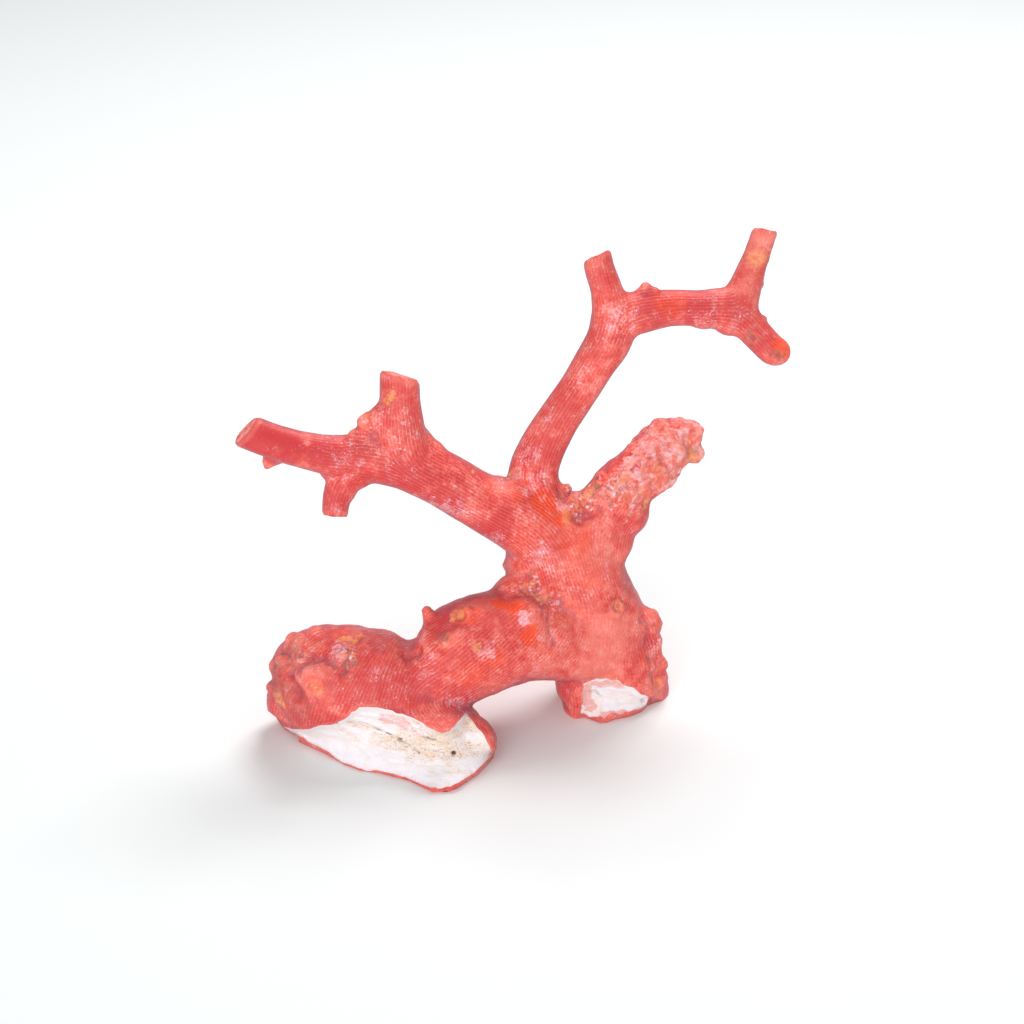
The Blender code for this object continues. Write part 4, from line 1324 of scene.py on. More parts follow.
def groove_waves(points, normals, ways, net, pitch):
    """A wave across the grooves: its cosine and sine at every point.

    The wave spreads from the foot over the whole skin, and then settles until it agrees
    with its neighbours everywhere. Where limbs widen, new grooves begin between the old ones.
    """
    across = np.cross(normals, ways) * (2.0 * math.pi / pitch)
    step = points[net.home] - points[net.other]
    turn = (0.5 * (across[net.home] + across[net.other]) * step).sum(1)
    carry = np.exp(1j * turn)  # turns a neighbour's wave into what it would be here
    wave = np.zeros(len(points), complex)
    front = np.array([int(np.argmin(points[:, 2] + 0.1 * np.abs(points[:, 0])))])
    wave[front] = 1.0
    while len(front):
        reached = np.unique(net.other[net.edges_from(front)])
        reached = reached[wave[reached] == 0]
        if not len(reached):
            break
        edges = net.edges_from(reached)
        home = np.searchsorted(reached, net.home[edges])
        carried = carry[edges] * wave[net.other[edges]]
        real = np.bincount(home, carried.real, len(reached))
        imaginary = np.bincount(home, carried.imag, len(reached))
        wave[reached] = whole_wave(real + 1j * imaginary)
        front = reached
    for _ in range(WAVE_PASSES):
        wave = whole_wave(net.total(carry * wave[net.other]))
    return wave


def whole_wave(wave):
    """A wave at its full strength everywhere."""
    return wave / np.maximum(np.abs(wave), 1e-9)


def skin_relief(points, marks, wave, sizes):
    """How far every point of the skin is raised, in millimetres, and how strong its grooves are."""
    old = 1.0 - smooth_step(points[:, 2], *YOUNG_FROM)
    plain = (1.0 - 0.9 * marks["polish"]) * (1.0 - marks["pale"]) * (1.0 - 0.6 * marks["ochre"])
    plain *= 1.0 - 0.7 * np.minimum(marks["debris"], 1.0)
    worn = 0.72 + 0.28 * layered_noise(points, 5.0, 51)
    strength = np.clip(plain * worn, 0.0, 1.0)
    relief = sizes.groove_depth / MM * 0.5 * (wave.real - 1.0) * strength
    relief += sizes.swelling / MM * (0.15 + 0.85 * old) * layered_noise(points, 7.0, 52, 2)
    relief += (0.03 + 0.10 * old) * layered_noise(points, 2.4, 53, 2)
    relief += marks["pale"] * (0.25 * marks["flake"] + 0.26 * layered_noise(points, 1.8, 54) - 0.1)
    relief += 0.06 * marks["bloom"] * layered_noise(points, 0.7, 55, 2)
    relief -= 0.25 * marks["ochre"] * (0.6 + layered_noise(points, 0.8, 56, 2))
    wobble = 1.0 + 0.15 * lattice_noise(points, 1.0, 57)
    for x, y, z, radius, depth in PITS:
        away = np.linalg.norm(points - on_skin(points, (x, y, z)), axis=1) / radius * wobble
        relief -= depth * (1.0 - smooth_step(away, 0.15, 1.0))
        relief += 0.25 * depth * np.exp(-(((away - 1.15) / 0.25) ** 2))
    return relief, strength


def core_field(points, marks, seed):
    """How strong one kind of mark is on the broken faces, with a ragged border."""
    right, up = on_break(points).T
    wander = 0.5 * layered_noise(points * (0.5, 1.0, 1.0), 1.3, seed)
    field = np.zeros(len(points))
    for x, y, half_length, half_height, slope, strength in marks:
        cosine, sine = math.cos(math.radians(slope)), math.sin(math.radians(slope))
        along = (right - x) * cosine + (up - y) * sine
        across = (up - y) * cosine - (right - x) * sine
        away = np.hypot(along / half_length, across / half_height) + wander
        field = np.maximum(field, strength * (1.0 - smooth_step(away, 0.5, 1.2)))
    return field


def crack_shade_field(points):
    """Painted shade under the steps of the broken faces, in their cracks and in their holes."""
    shift = layered_noise(points * (0.5, 1.0, 1.0), 1.5, 90)
    field = core_field(points, CORE_MARKS["crack"], 91)
    for path, height in LOBE_LEDGES + FOOT_LEDGES:
        gap = signed_distance(on_break(points) + 0.2 * shift[:, None], path)
        width = 0.32 * (1.0 + 0.6 * shift)
        line = (abs(height) - 0.2) * 1.6 * np.exp(-(((gap + 0.1) / width) ** 2))
        field = np.maximum(field, line * smooth_step(shift, -0.35, 0.6))
    return field


def fold_field(points):
    """How deep every point lies in a fold, in millimetres, and how dark the fold is painted with dirt
    and shade.
    """
    depth, dirt_and_shade = np.zeros(len(points)), np.zeros(len(points))
    bent = points + 0.9 * np.stack([layered_noise(points, 2.5, 61 + k, 2) for k in range(3)], 1)
    for path, half_width, deepest, darkening in FOLDS:
        path = [on_skin(points, place) for place in path]
        near = np.exp(-((distance_to_path(bent, path) / half_width) ** 2))
        depth = np.maximum(depth, deepest * near)
        dirt_and_shade = np.maximum(dirt_and_shade, darkening * near)
    return depth, dirt_and_shade


def dress(body, sizes):
    """Raises grooves, swellings, pits and folds on the skin, and keeps what the finishes need."""
    mesh = body.data
    points, triangles, kinds = points_of(mesh), triangles_of(mesh), finishes_of(mesh)
    skin, broken = np.zeros((2, len(points)), bool)
    skin[triangles[kinds == SKIN]] = True
    broken[triangles[kinds != SKIN]] = True
    net = Net(triangles, len(points))
    normals = read(mesh.vertex_normals, "vector", width=3).astype(float)
    marks = {
        name: mark_field(points, MARKS[name], 70 + i, SOFT if name in SOFT_MARKS else RAGGED)
        for i, name in enumerate(MARKS)
    }
    marks["flake"] = smooth_step(layered_noise(points, 2.4, 66), -0.45, 0.45)
    ways = growing_ways(points, normals, net)
    wave = groove_waves(points, normals, ways, net, sizes.groove_pitch / MM)
    relief, strength = skin_relief(points, marks, wave, sizes)
    depth, dirt_and_shade = fold_field(points)
    # the folds' dirt and painted shade join the other darkened marks
    marks["grime"] = np.maximum(marks["grime"], dirt_and_shade)
    # painted shade: how edge-on the skin is seen from the front, for mauve shade in the finish
    marks["patina"] = 1.0 - smooth_step(np.abs(normals @ unit(np.array(FRONT_SIDE))), 0.0, 0.75)
    free = skin & ~broken
    relief = np.where(free, relief - depth, 0.0)
    for _ in range(2):
        relief = np.where(free, 0.6 * relief + 0.4 * net.mean(relief), 0.0)
    moved = points + normals * relief[:, None]
    moved[points[:, 2] < 0.01, 2] = 0.0  # what stands on the ground stays flat
    for place, direction in END_CUTS:
        soften_rim(moved, place, direction)
    # how far each point lies sunk below its neighbourhood: the finishes darken hollows with painted
    # shade from it, and paint what stands out paler
    around = moved
    for _ in range(8):
        around = net.mean(around)
    marks["hollow"] = np.clip(((around - moved) * normals).sum(1) / 0.1, -1.0, 1.0)
    marks["lip"] = lip_distance(points, skin & broken)
    marks["stain"] = core_field(points, CORE_MARKS["stain"], 92)
    marks["pink"] = core_field(points, CORE_MARKS["pink"], 93)
    # painted shade under the steps, in the cracks and in the holes
    marks["crack"] = crack_shade_field(points)
    for name in ("stain", "pink", "crack"):
        marks[name] = np.where(broken, marks[name], 0.0)
    set_points(mesh, moved)
    for name in SKIN_FIELDS + CORE_FIELDS:
        store(mesh, name, marks[name])
    store(mesh, "groove_wave", np.stack([wave.real, wave.imag, strength], 1), "FLOAT_VECTOR")
    store(mesh, "limb", limb_numbers(points, triangles), "INT", "FACE")
    mesh.shade_smooth()
    mesh.set_sharp_from_angle(angle=SHARP_ANGLE)


def soften_rim(points, place, direction):
    """Draws the rim of a cut end in a little, so that its edge is worn and not sharp."""
    away = points - place
    along = unit(np.array(direction, float))
    below = np.maximum(-(away @ along), 0.0)
    rim = (below < RIM_WEAR) & (np.linalg.norm(away, axis=1) < RIM_REACH)
    radial = (away - (away @ along)[:, None] * along)[rim]
    girth = np.maximum(np.linalg.norm(radial, axis=1), 3.5)  # less wear towards the middle
    reach = 0.5 * (1.0 - below[rim] / RIM_WEAR) ** 2 / girth
    points[rim] -= reach[:, None] * radial


def lip_distance(points, lip):
    """The distance from every point of the base to the nearest broken edge, up to a limit."""
    edge = points[lip]
    tree = KDTree(len(edge))
    for index, point in enumerate(edge):
        tree.insert(point, index)
    tree.balance()
    away = np.full(len(points), LIP_REACH)
    for index in np.flatnonzero((points[:, 1] < 0.0) & (points[:, 2] < BASE_TOP)):
        away[index] = min(LIP_REACH, tree.find(points[index])[2])
    return away


def neighbours_of(triangles):
    """The pairs of faces that share an edge."""
    edges = np.sort(edges_of(triangles))
    faces = np.tile(np.arange(len(triangles)), 3)
    order = np.lexsort(edges.T)
    same = (edges[order][1:] == edges[order][:-1]).all(1)
    return faces[order][:-1][same], faces[order][1:][same]


def group_numbers(count, first, second):
    """A number for each of count things, the same for all that the pairs join."""
    numbers = np.arange(count)
    while True:
        one, other = numbers[first], numbers[second]
        apart = one != other
        if not apart.any():
            return numbers
        np.minimum.at(numbers, np.maximum(one, other)[apart], np.minimum(one, other)[apart])
        while (numbers != numbers[numbers]).any():
            numbers = numbers[numbers]


def limb_numbers(points, triangles):
    """Which piece every face belongs to, found by spreading from face to face between the seams."""
    centres = points[triangles].mean(1)
    first, second = neighbours_of(triangles)
    joined = np.ones(len(first), bool)
    for point, direction, half_width in FORKS.values():
        away = centres - point
        side = away @ unit(np.array(direction)) > 0.0
        near = np.linalg.norm(away, axis=1) < half_width
        joined &= ~((side[first] != side[second]) & near[first] & near[second])
    numbers = group_numbers(len(triangles), first[joined], second[joined])
    kinds = np.unique(numbers)
    if len(kinds) != len(PIECES):
        raise RuntimeError(f"the forks part the coral into {len(kinds)} pieces, not {len(PIECES)}")
    result = np.full(len(triangles), -1)
    for index, (seed, _) in enumerate(PIECES.values()):
        nearest = numbers[int(np.argmin(np.linalg.norm(centres - seed, axis=1)))]
        result[numbers == nearest] = index
    if (result < 0).any():
        raise RuntimeError("two pieces of the coral were taken for one")
    return result


# ---------------------------------------------------------------- pieces


def border_loops(triangles):
    """The open borders of some triangles, each as a ring of points in walking order."""
    known = {(int(a), int(b)) for a, b in edges_of(triangles)}
    after = {b: a for a, b in known if (b, a) not in known}
    while after:
        start = next(iter(after))
        ring = [start]
        while after[ring[-1]] != start:
            ring.append(after.pop(ring[-1]))
        after.pop(ring[-1])
        yield ring


def closed(points, faces):
    """Closes the open borders of some faces. Gives all points, all faces, and the new faces alone."""
    caps, middles = [], []
    for ring in border_loops(faces):
        middle = len(points) + len(middles)
        middles.append(points[ring].mean(0))
        caps += [(start, end, middle) for start, end in zip(ring, ring[1:] + ring[:1])]
    caps = np.array(caps, faces.dtype)
    return np.concatenate([points, middles]), np.concatenate([faces, caps]), caps


def piece_mesh(name, points, faces, kinds, materials):
    """A mesh from points in millimetres, triangles, and the number of every triangle's finish."""
    mesh = bpy.data.meshes.new(name)
    mesh.vertices.add(len(points))
    mesh.loops.add(faces.size)
    mesh.polygons.add(len(faces))
    mesh.vertices.foreach_set("co", (points * MM).astype(np.float32).ravel())
    mesh.loops.foreach_set("vertex_index", faces.astype(np.int32).ravel())
    mesh.polygons.foreach_set("loop_start", np.arange(0, faces.size, 3, dtype=np.int32))
    mesh.polygons.foreach_set("loop_total", np.full(len(faces), 3, np.int32))
    for material in materials:
        mesh.materials.append(material)
    mesh.polygons.foreach_set("material_index", kinds.astype(np.int32))
    mesh.update(calc_edges=True)
    mesh.validate()
    return mesh


def take_piece(name):
    """Makes one piece from its faces of the whole coral, and closes it at its seams."""
    whole = bpy.data.objects[WHOLE].data
    mine = stored(whole, "limb") == list(PIECES).index(name)
    used, faces = np.unique(triangles_of(whole)[mine], return_inverse=True)
    points, faces, caps = closed(points_of(whole)[used], faces.reshape(-1, 3))
    kinds = np.concatenate([finishes_of(whole)[mine], np.full(len(caps), CORE)])
    mesh = piece_mesh(name, points, faces, kinds, whole.materials)
    middles = len(points) - len(used)
    for field in SKIN_FIELDS + CORE_FIELDS:
        store(mesh, field, np.concatenate([stored(whole, field)[used], np.zeros(middles)]))
    wave = np.concatenate([stored(whole, "groove_wave", 3)[used], np.zeros((middles, 3))])
    store(mesh, "groove_wave", wave, "FLOAT_VECTOR")
    mesh.shade_smooth()
    one, two, three = points[caps.T]
    sides = unit(np.cross(two - one, three - one))
    normals = read(whole.corner_normals, "vector", width=3).reshape(-1, 3, 3)[mine]
    normals = np.concatenate([normals.reshape(-1, 3), np.repeat(sides, 3, axis=0)])
    mesh.normals_split_custom_set(normals.tolist())
    piece = new_object(name + "_growth", mesh)
    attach(piece, "root")
    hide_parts(name)
    return piece


# ---------------------------------------------------------------- finishes


def new_finish(name, roughness=0.5, specular=0.5):
    """A material with a Principled shader, and the tree to build its nodes in."""
    material = bpy.data.materials.new(name)
    material.use_nodes = True
    shader = material.node_tree.nodes["Principled BSDF"]
    shader.inputs["Roughness"].default_value = roughness
    shader.inputs["Specular IOR Level"].default_value = specular
    return material, Tree(material.node_tree), shader


def place_in_mm(tree):
    """Where a point of the coral is, in millimetres."""
    place = tree.node("ShaderNodeTexCoord").outputs["Object"]
    scaled = tree.node("ShaderNodeVectorMath", {"operation": "SCALE"}, {0: place, "Scale": 1.0 / MM})
    return scaled.outputs[0]


def finish_surface(tree, shader, tone, height, strength, distance):
    """Gives a finish its colour and its finest relief."""
    tree.feed(shader.inputs["Base Color"], tone)
    bump = tree.node(
        "ShaderNodeBump", None, {"Height": height, "Strength": strength, "Distance": distance}
    )
    tree.feed(shader.inputs["Normal"], bump.outputs[0])


def specks(tree, place, scale, size, share, shift):
    """Small scattered dots: one in some cells only, each 0 or 1 with a soft edge."""
    moved = tree.node(
        "ShaderNodeVectorMath", {"operation": "ADD"}, {0: place, 1: (shift, 3.1, 1.7)}
    )
    away, drawn = tree.cells(moved.outputs[0], scale)
    return (1.0 - away.smooth(size * 0.5, size)) * drawn[0].smooth(1.0 - share, 1.001 - share)


def coral_skin(colours):
    """Red coral skin: dusty grooves, specks, bloom, pale crust, ochre pits, brown folds of dirt and
    painted shade, and mauve shade painted on its edge-on sides and in its hollows.
    """
    material, tree, shader = new_finish("red_coral_skin", specular=0.2)
    place = place_in_mm(tree)
    marks = {name: tree.field(name) for name in SKIN_FIELDS}
    wave = tree.node("ShaderNodeAttribute", {"attribute_name": "groove_wave"})
    parts = tree.node("ShaderNodeSeparateXYZ", None, {0: wave.outputs["Vector"]})
    cosine, sine, strength = (Wire(tree, parts.outputs[i]) for i in range(3))
    crest = cosine / ((cosine * cosine + sine * sine) ** 0.5).larger(0.05)
    broad = tree.noise(place, 0.10, 3.0)
    middle = tree.noise(place, 0.42, 3.0, 0.6)
    fine = tree.noise(place, 1.9, 3.0, 0.65)
    grain = tree.noise(place, 5.0, 2.0, 0.7)
    streak = tree.noise(place, 1.1, 2.0, 0.6, 0.5)

    # the red of the skin, paler where it is worn, deeper in crimson patches that are partly painted
    # shade, with mauve shade painted on the sides seen edge-on from the front
    tone = (broad * 0.5 + middle * 0.3 + fine * 0.2).smooth(0.36, 0.54)
    red = tree.mix(tone, colours.deep_red, colours.bright_red)
    flush = (middle * 0.5 + broad * 0.3 + fine * 0.4).smooth(0.52, 0.72)
    red = tree.mix(flush * 0.5, red, colours.rose)
    red = tree.mix(marks["polish"] * (1.0 - marks["crimson"]).clamp() * 0.6, red, colours.rose)
    # crimson patches, partly painted shade on undersides
    red = tree.mix((marks["crimson"] * (fine * 0.6 + 0.8)).clamp(), red, colours.deep_red)
    # painted shade: mauve on the skin seen edge-on from the front, broken up by noise
    edge_shade = (marks["patina"] * 0.9 + middle * 0.5 + fine * 0.3 - 0.4).smooth(0.05, 0.7)
    red = tree.mix(edge_shade * 0.62, red, colours.shade_mauve)
    glow = (marks["blush"] + middle * 0.5 + fine * 0.4 - 0.45).smooth(0.1, 0.9)
    red = tree.mix(glow * 0.9, red, colours.scarlet)

    # grooves: dark ridges, and pale valleys with dashes of bloom
    valley = (crest * -1.0).smooth(0.35, 1.0) * strength
    ridge = crest.smooth(-0.2, 1.0) * strength
    red = tree.mix(ridge * 0.16, red, colours.deep_red)
    red = tree.mix(valley * (0.3 - marks["crimson"] * 0.1), red, colours.rose)
    dusty = (middle * 0.9 + broad * 0.5 + marks["bloom"] * 0.5).smooth(0.62, 1.0)
    dust = valley * streak.smooth(0.46, 0.62) * (dusty * 0.8 + 0.12) * (1.0 - marks["crimson"] * 0.5)
    red = tree.mix(dust * 0.8, red, colours.bloom)

    # the crust of the stump: pale flakes with red between them, orange tints and chalk
    cloud = tree.noise(place, 0.36, 3.0, 0.6, 0.8)
    clot = tree.noise(place, 0.95, 2.0, 0.55, 0.4)
    mottle = (marks["flake"] * 0.12 + cloud * 0.7 + fine * 0.4).smooth(0.53, 0.74)
    crust = tree.mix(mottle, colours.crevice, colours.pale)
    crust = tree.mix(streak.smooth(0.56, 0.66) * 0.55, crust, colours.orange)
    crust = tree.mix((middle * 0.7 + fine * 0.5).smooth(0.62, 0.74) * 0.6, crust, colours.deep_red)
    chalk = (cloud * 0.45 + clot * 0.45 + grain * 0.3).smooth(0.61, 0.72)
    crust = tree.mix(chalk * 0.5, crust, colours.bloom)
    # painted mauve shade on the crust seen edge-on from the front
    crust = tree.mix(edge_shade * 0.35, crust, colours.shade_mauve)
    skin = tree.mix((marks["pale"] * 1.3 + fine * 0.5 - 0.25).smooth(0.2, 0.7), red, crust)

    # white bloom: freckles between the grooves, veils in patches, and single specks
    freckle = (fine * 0.75 + grain * 0.45).smooth(0.60, 0.76)
    patchy = (middle * 0.6 + broad * 0.4 + marks["bloom"] * 0.1).smooth(0.48, 0.64)
    skin = tree.mix(freckle * (patchy * 0.36 + 0.03) * strength, skin, colours.bloom)
    veil = (marks["bloom"] * 0.34 + middle * 0.8 + fine * 0.7 + grain * 0.3).smooth(1.0, 1.36)
    frost = veil * (grain.smooth(0.35, 0.7) * 0.6 + 0.4)
    skin = tree.mix(frost * 0.6, skin, colours.bloom)
    dots = specks(tree, place, 1.05, 0.26, 0.30, 0.0).larger(specks(tree, place, 2.1, 0.3, 0.26, 9.0))
    sprinkle = (middle * 0.6 + broad * 0.6 + marks["bloom"] * 0.3).smooth(0.56, 0.78) * 0.6 + 0.12
    skin = tree.mix(dots * sprinkle * (1.0 - marks["polish"] * 0.6), skin, colours.bloom)

    # painted relief shading: hollows are darkened with mauve shade, and what stands out is painted
    # paler, as wear and as light
    hollow_shade = marks["hollow"].smooth(0.12, 0.9)
    worn = (marks["hollow"] * -1.0).smooth(0.15, 0.9)
    skin = tree.mix(hollow_shade * (0.5 - marks["pale"] * 0.3), skin, colours.shade_mauve)
    skin = tree.mix(worn * 0.25, skin, colours.rose)

    # grains of sediment and debris that have settled, and dirt with painted shade in folds, recesses
    # and pits
    away, (pick, other, third) = tree.cells(place, 1.7)
    round_off = 1.0 - away.smooth(0.25, 0.75) * 0.6
    earth = tree.mix((grain * 0.5 + pick * 0.5).smooth(0.35, 0.65), colours.ochre, colours.sand)
    earth = tree.mix(other.smooth(0.75, 0.8) * 0.6, earth, colours.rose)
    debris = tree.mix(pick.smooth(0.55, 0.57), earth, colours.grime)
    debris = tree.mix(other.smooth(0.70, 0.72), debris, colours.bloom)
    settled = (marks["debris"] + fine * 0.6 + grain * 0.3 - 0.5).smooth(0.2, 0.9)
    skin = tree.mix(settled * third.smooth(0.3, 0.32) * round_off * 0.85, skin, debris)
    sediment = (marks["ochre"] + fine * 0.7 + grain * 0.5 - 0.65).smooth(0.2, 0.85)
    skin = tree.mix(sediment * (third.smooth(0.1, 0.5) * 0.6 + 0.35), skin, earth)
    # dirt and painted shade: folds, recesses and pits darkened brown
    dirt_and_shade = (marks["grime"] + fine * 0.6 + grain * 0.5 - 0.6).smooth(0.2, 0.9)
    skin = tree.mix(dirt_and_shade * (third.smooth(0.1, 0.6) * 0.45 + 0.2), skin, colours.grime)

    rough = frost * 0.2 + marks["pale"] * 0.2 + dirt_and_shade * 0.25 + fine * 0.15 - marks["polish"] * 0.08
    tree.feed(shader.inputs["Roughness"], rough + 0.38)
    relief = crest.smooth(-1.0, 0.3) * strength * 0.45 + fine * 0.4 + grain * 0.25 + dots * 0.2
    relief = relief + (sediment + settled) * round_off * 0.7
    finish_surface(tree, shader, skin, relief, 0.7, 0.1 * MM)
    return material


def broken_core(colours):
    """The white core where the coral broke: chalky layers, sandy stains with brown specks, and painted
    shade in its hollows, under its steps, in its cracks and in its hole.
    """
    material, tree, shader = new_finish("broken_core", 0.75, 0.3)
    place = place_in_mm(tree)
    lip, stain, pink, crack = (tree.field(name) for name in CORE_FIELDS)
    hollow = tree.field("hollow")
    turned = tree.node(
        "ShaderNodeMapping", None,
        {"Vector": place, "Rotation": (BREAK_TILT, 0.0, LAYER_TURN), "Scale": (0.2, 1.0, 1.0)},
    ).outputs[0]
    layers = tree.noise(turned, 1.3, 4.0, 0.7)
    fine = tree.noise(turned, 3.6, 3.0, 0.65)
    grain = tree.noise(place, 4.0, 3.0, 0.7)
    white = tree.mix((layers * 0.5 + fine * 0.5).smooth(0.42, 0.62), colours.core, colours.core_dull)
    sandy = stain * (layers * 0.6 + grain * 0.5 + 0.1).smooth(0.45, 0.75)
    white = tree.mix(sandy * 0.9, white, colours.core_stain)
    # painted shade: the hollows of the core are tinted darker and sandy
    white = tree.mix(hollow.smooth(0.1, 0.8) * 0.25, white, colours.core_stain)
    spots = stain * (grain * 0.6 + fine * 0.5).smooth(0.58, 0.7)
    white = tree.mix(spots * 0.6, white, colours.core_dirt_and_shade)
    flesh = (pink * 0.8 + fine * 1.1 + layers * 0.4 - 0.98).smooth(0.2, 0.75)
    white = tree.mix(flesh * 0.75, white, colours.core_pink)
    seam = layers.smooth(0.60, 0.64) * (1.0 - layers.smooth(0.65, 0.69)) * grain.smooth(0.4, 0.6)
    white = tree.mix(seam * 0.45, white, colours.core_stain)
    thin = fine.smooth(0.56, 0.6) * (1.0 - fine.smooth(0.62, 0.66)) * stain.smooth(0.1, 0.5)
    white = tree.mix(thin * grain.smooth(0.42, 0.56) * 0.6, white, colours.core_dirt_and_shade)
    # painted shade under the steps, in the cracks and in the holes
    white = tree.mix((crack * (fine * 0.7 + grain * 0.7)).smooth(0.12, 0.6), white, colours.core_dirt_and_shade)
    edge = (1.0 - lip.smooth(0.1, 0.7)) * grain.smooth(0.44, 0.6)
    white = tree.mix(edge * 0.6, white, colours.core_pink)
    finish_surface(tree, shader, white, layers * 0.8 + fine * 0.6 + grain * 0.4, 0.8, 0.25 * MM)
    return material


def cut_end(colours):
    """A cut end: dull rose clouds with scuffs."""
    material, tree, shader = new_finish("cut_end", 0.6)
    place = place_in_mm(tree)
    cloud = tree.noise(place, 0.5, 3.0, 0.6)
    grain = tree.noise(place, 3.5, 3.0, 0.7)
    tone = tree.mix(cloud.smooth(0.35, 0.65), colours.deep_red, colours.rose)
    tone = tree.mix(grain.smooth(0.45, 0.75) * 0.4, tone, colours.bloom)
    finish_surface(tree, shader, tone, grain + cloud, 0.4, 0.1 * MM)
    return material


# ---------------------------------------------------------------- stage

CAMERA_AIM = (-20.0, -8.0, 46.3)  # in millimetres
# The soft lights: where each stands, where it looks, and how wide it is, in metres
LIGHTS = {
    "key": ((-0.25, -1.0, 0.42), (-0.02, -0.01, 0.04), 0.8),
    "top": ((0.14, 0.36, 0.66), (-0.02, -0.01, 0.0), 0.3),
}


def studio_floor(settings):
    """A plain pale floor, wide enough to fill the view."""
    material, tree, shader = new_finish("floor", 0.9, 0.1)
    shade = tree.noise(tree.node("ShaderNodeTexCoord").outputs["Object"], 3.0, 2.0)
    tone = tree.mix(shade * 0.05, settings.floor, (0.88, 0.88, 0.89))
    tree.feed(shader.inputs["Base Color"], tone)
    shape = bmesh.new()
    bmesh.ops.create_grid(shape, x_segments=1, y_segments=1, size=6.0)
    floor = new_object("floor", mesh_from(shape, "floor", [material]))
    floor.location.z = -0.02 * MM  # just clear of the standing faces


def soft_light(name, place, aim, size, power):
    """A square soft light that looks at a point."""
    light = bpy.data.lights.new(name, "AREA")
    light.shape = "SQUARE"
    light.size = size
    light.energy = power
    lamp = new_object(name, light)
    lamp.location = place
    lamp.rotation_euler = (Vector(aim) - Vector(place)).to_track_quat("-Z", "Y").to_euler()


def room(strength):
    """Even white light from all round."""
    world = bpy.data.worlds.new("room")
    world.use_nodes = True
    background = world.node_tree.nodes["Background"]
    background.inputs["Color"].default_value = (1.0, 1.0, 1.0, 1.0)
    background.inputs["Strength"].default_value = strength
    bpy.context.scene.world = world


def aim_camera(settings):
    """The camera in front of the coral and a little above it."""
    camera = bpy.data.cameras.new("camera")
    camera.lens = 100.0
    camera.sensor_width = 36.0
    camera.clip_start = 0.01
    seer = new_object("camera", camera)
    away = Vector((0.0, -math.cos(settings.elevation), math.sin(settings.elevation)))
    seer.location = Vector(CAMERA_AIM) * MM + away * settings.distance
    seer.rotation_euler = (-away).to_track_quat("-Z", "Y").to_euler()
    bpy.context.scene.camera = seer


# ---------------------------------------------------------------- operators and panel


class CORAL_OT_grow(bpy.types.Operator):
    """Grow the whole coral as one body, cut and break it, and dress its skin"""

    bl_idname = "coral.grow"
    bl_label = "Grow the coral"

    def execute(self, context):
        sizes, colours = context.scene.coral_sizes, context.scene.coral_colours
        skin, core, end = coral_skin(colours), broken_core(colours), cut_end(colours)
        body = raw_growth(skin)
        grow(body, sizes, skin)
        cut_body(body, skin, core, end)
        seam_forks(body)
        dress(body, sizes)
        body.hide_render = True
        return {"FINISHED"}


class PieceOperator:
    """What the operators that take pieces from the grown coral share."""

    pieces = ()

    def execute(self, context):
        if WHOLE not in bpy.data.objects:
            raise RuntimeError("grow the coral first")
        for name in self.pieces:
            take_piece(name)
        return {"FINISHED"}


class CORAL_OT_trunk(PieceOperator, bpy.types.Operator):
    """Take out the trunk with its broken foot"""

    bl_idname = "coral.trunk"
    bl_label = "Trunk"
    pieces = ("trunk",)


class CORAL_OT_root_arm(PieceOperator, bpy.types.Operator):
    """Take out the arm that bends down to the broken lobe"""

    bl_idname = "coral.root_arm"
    bl_label = "Root arm and lobe"
    pieces = ("root_arm",)


class CORAL_OT_left_limbs(PieceOperator, bpy.types.Operator):
    """Take out the left branch, its stub, and its arm with the spur"""

    bl_idname = "coral.left_limbs"
    bl_label = "Left limbs"
    pieces = ("left_branch", "left_stub", "left_arm")


class CORAL_OT_upper_limbs(PieceOperator, bpy.types.Operator):
    """Take out the upper branch, its stub, its arm and the high prong"""

    bl_idname = "coral.upper_limbs"
    bl_label = "Upper limbs"
    pieces = ("upper_branch", "upper_stub", "upper_arm", "high_prong")


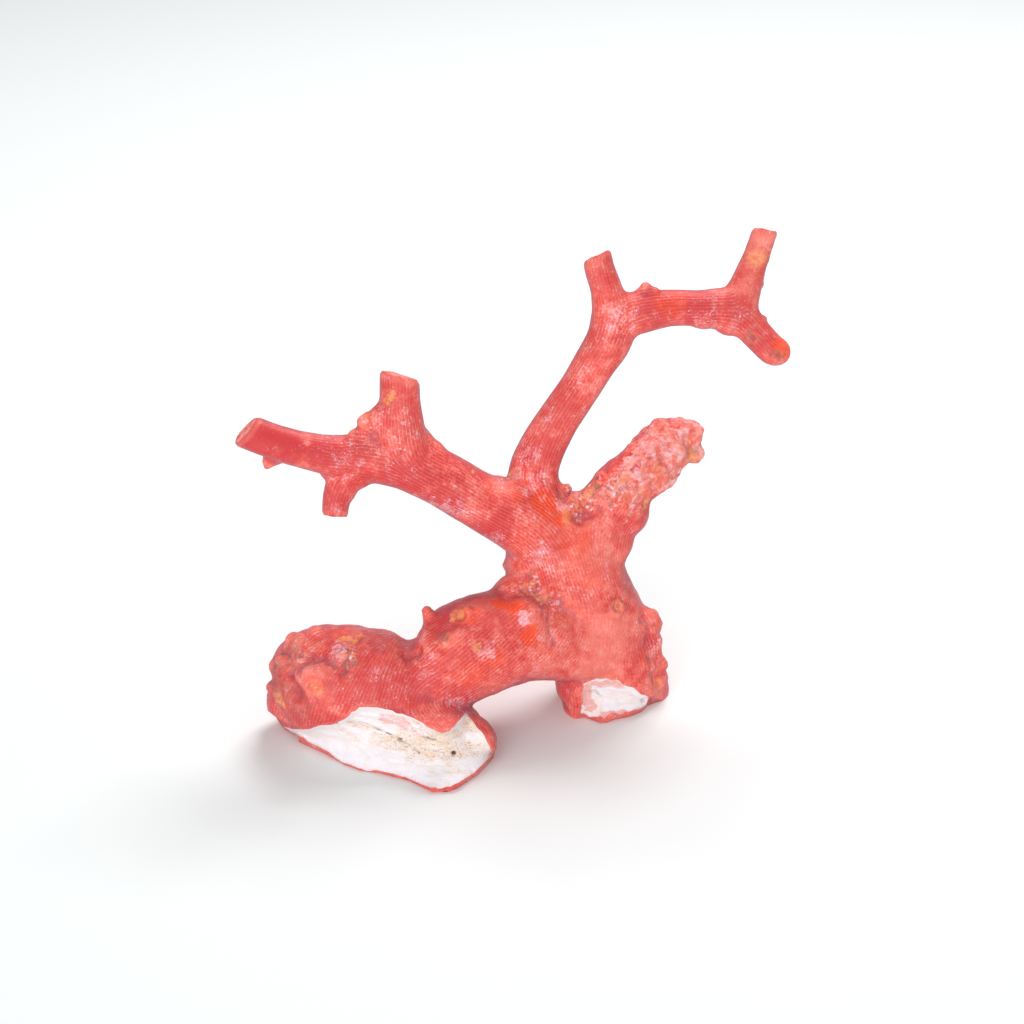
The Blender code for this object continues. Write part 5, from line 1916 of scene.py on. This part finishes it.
class CORAL_OT_stump(PieceOperator, bpy.types.Operator):
    """Take out the pale crusted stump"""

    bl_idname = "coral.stump"
    bl_label = "Stump"
    pieces = ("stump",)


class CORAL_OT_stage(bpy.types.Operator):
    """Set the floor, the lights and the camera"""

    bl_idname = "coral.stage"
    bl_label = "Stage"

    def execute(self, context):
        settings = context.scene.coral_stage
        studio_floor(settings)
        for name, spot in LIGHTS.items():
            soft_light(name, *spot, getattr(settings, f"{name}_power"))
        room(settings.sky)
        aim_camera(settings)
        context.scene.view_settings.view_transform = "Standard"
        return {"FINISHED"}


OPERATORS = (
    CORAL_OT_grow, CORAL_OT_trunk, CORAL_OT_root_arm, CORAL_OT_left_limbs, CORAL_OT_upper_limbs,
    CORAL_OT_stump, CORAL_OT_stage,
)


class CORAL_PT_panel(bpy.types.Panel):
    """Sizes, colours and steps of the coral"""

    bl_idname = "CORAL_PT_panel"
    bl_label = "Red coral branch"
    bl_space_type = "VIEW_3D"
    bl_region_type = "UI"
    bl_category = "Coral"

    def draw(self, context):
        scene = context.scene
        for group in (scene.coral_sizes, scene.coral_colours, scene.coral_stage):
            box = self.layout.box()
            for name in group.bl_rna.properties.keys():
                if name not in ("rna_type", "name"):
                    box.prop(group, name)
        for operator in OPERATORS:
            self.layout.operator(operator.bl_idname)


CLASSES = (CoralSizes, CoralColours, CoralStage, *OPERATORS, CORAL_PT_panel)


def register():
    for item in CLASSES:
        bpy.utils.register_class(item)
    bpy.types.Scene.coral_sizes = bpy.props.PointerProperty(type=CoralSizes)
    bpy.types.Scene.coral_colours = bpy.props.PointerProperty(type=CoralColours)
    bpy.types.Scene.coral_stage = bpy.props.PointerProperty(type=CoralStage)


def unregister():
    del bpy.types.Scene.coral_stage
    del bpy.types.Scene.coral_colours
    del bpy.types.Scene.coral_sizes
    for item in reversed(CLASSES):
        bpy.utils.unregister_class(item)


def main():
    register()
    for operator in OPERATORS:
        group, name = operator.bl_idname.split(".")
        getattr(getattr(bpy.ops, group), name)()
    bpy.data.objects.remove(bpy.data.objects[WHOLE], do_unlink=True)


if __name__ == "__main__":
    main()
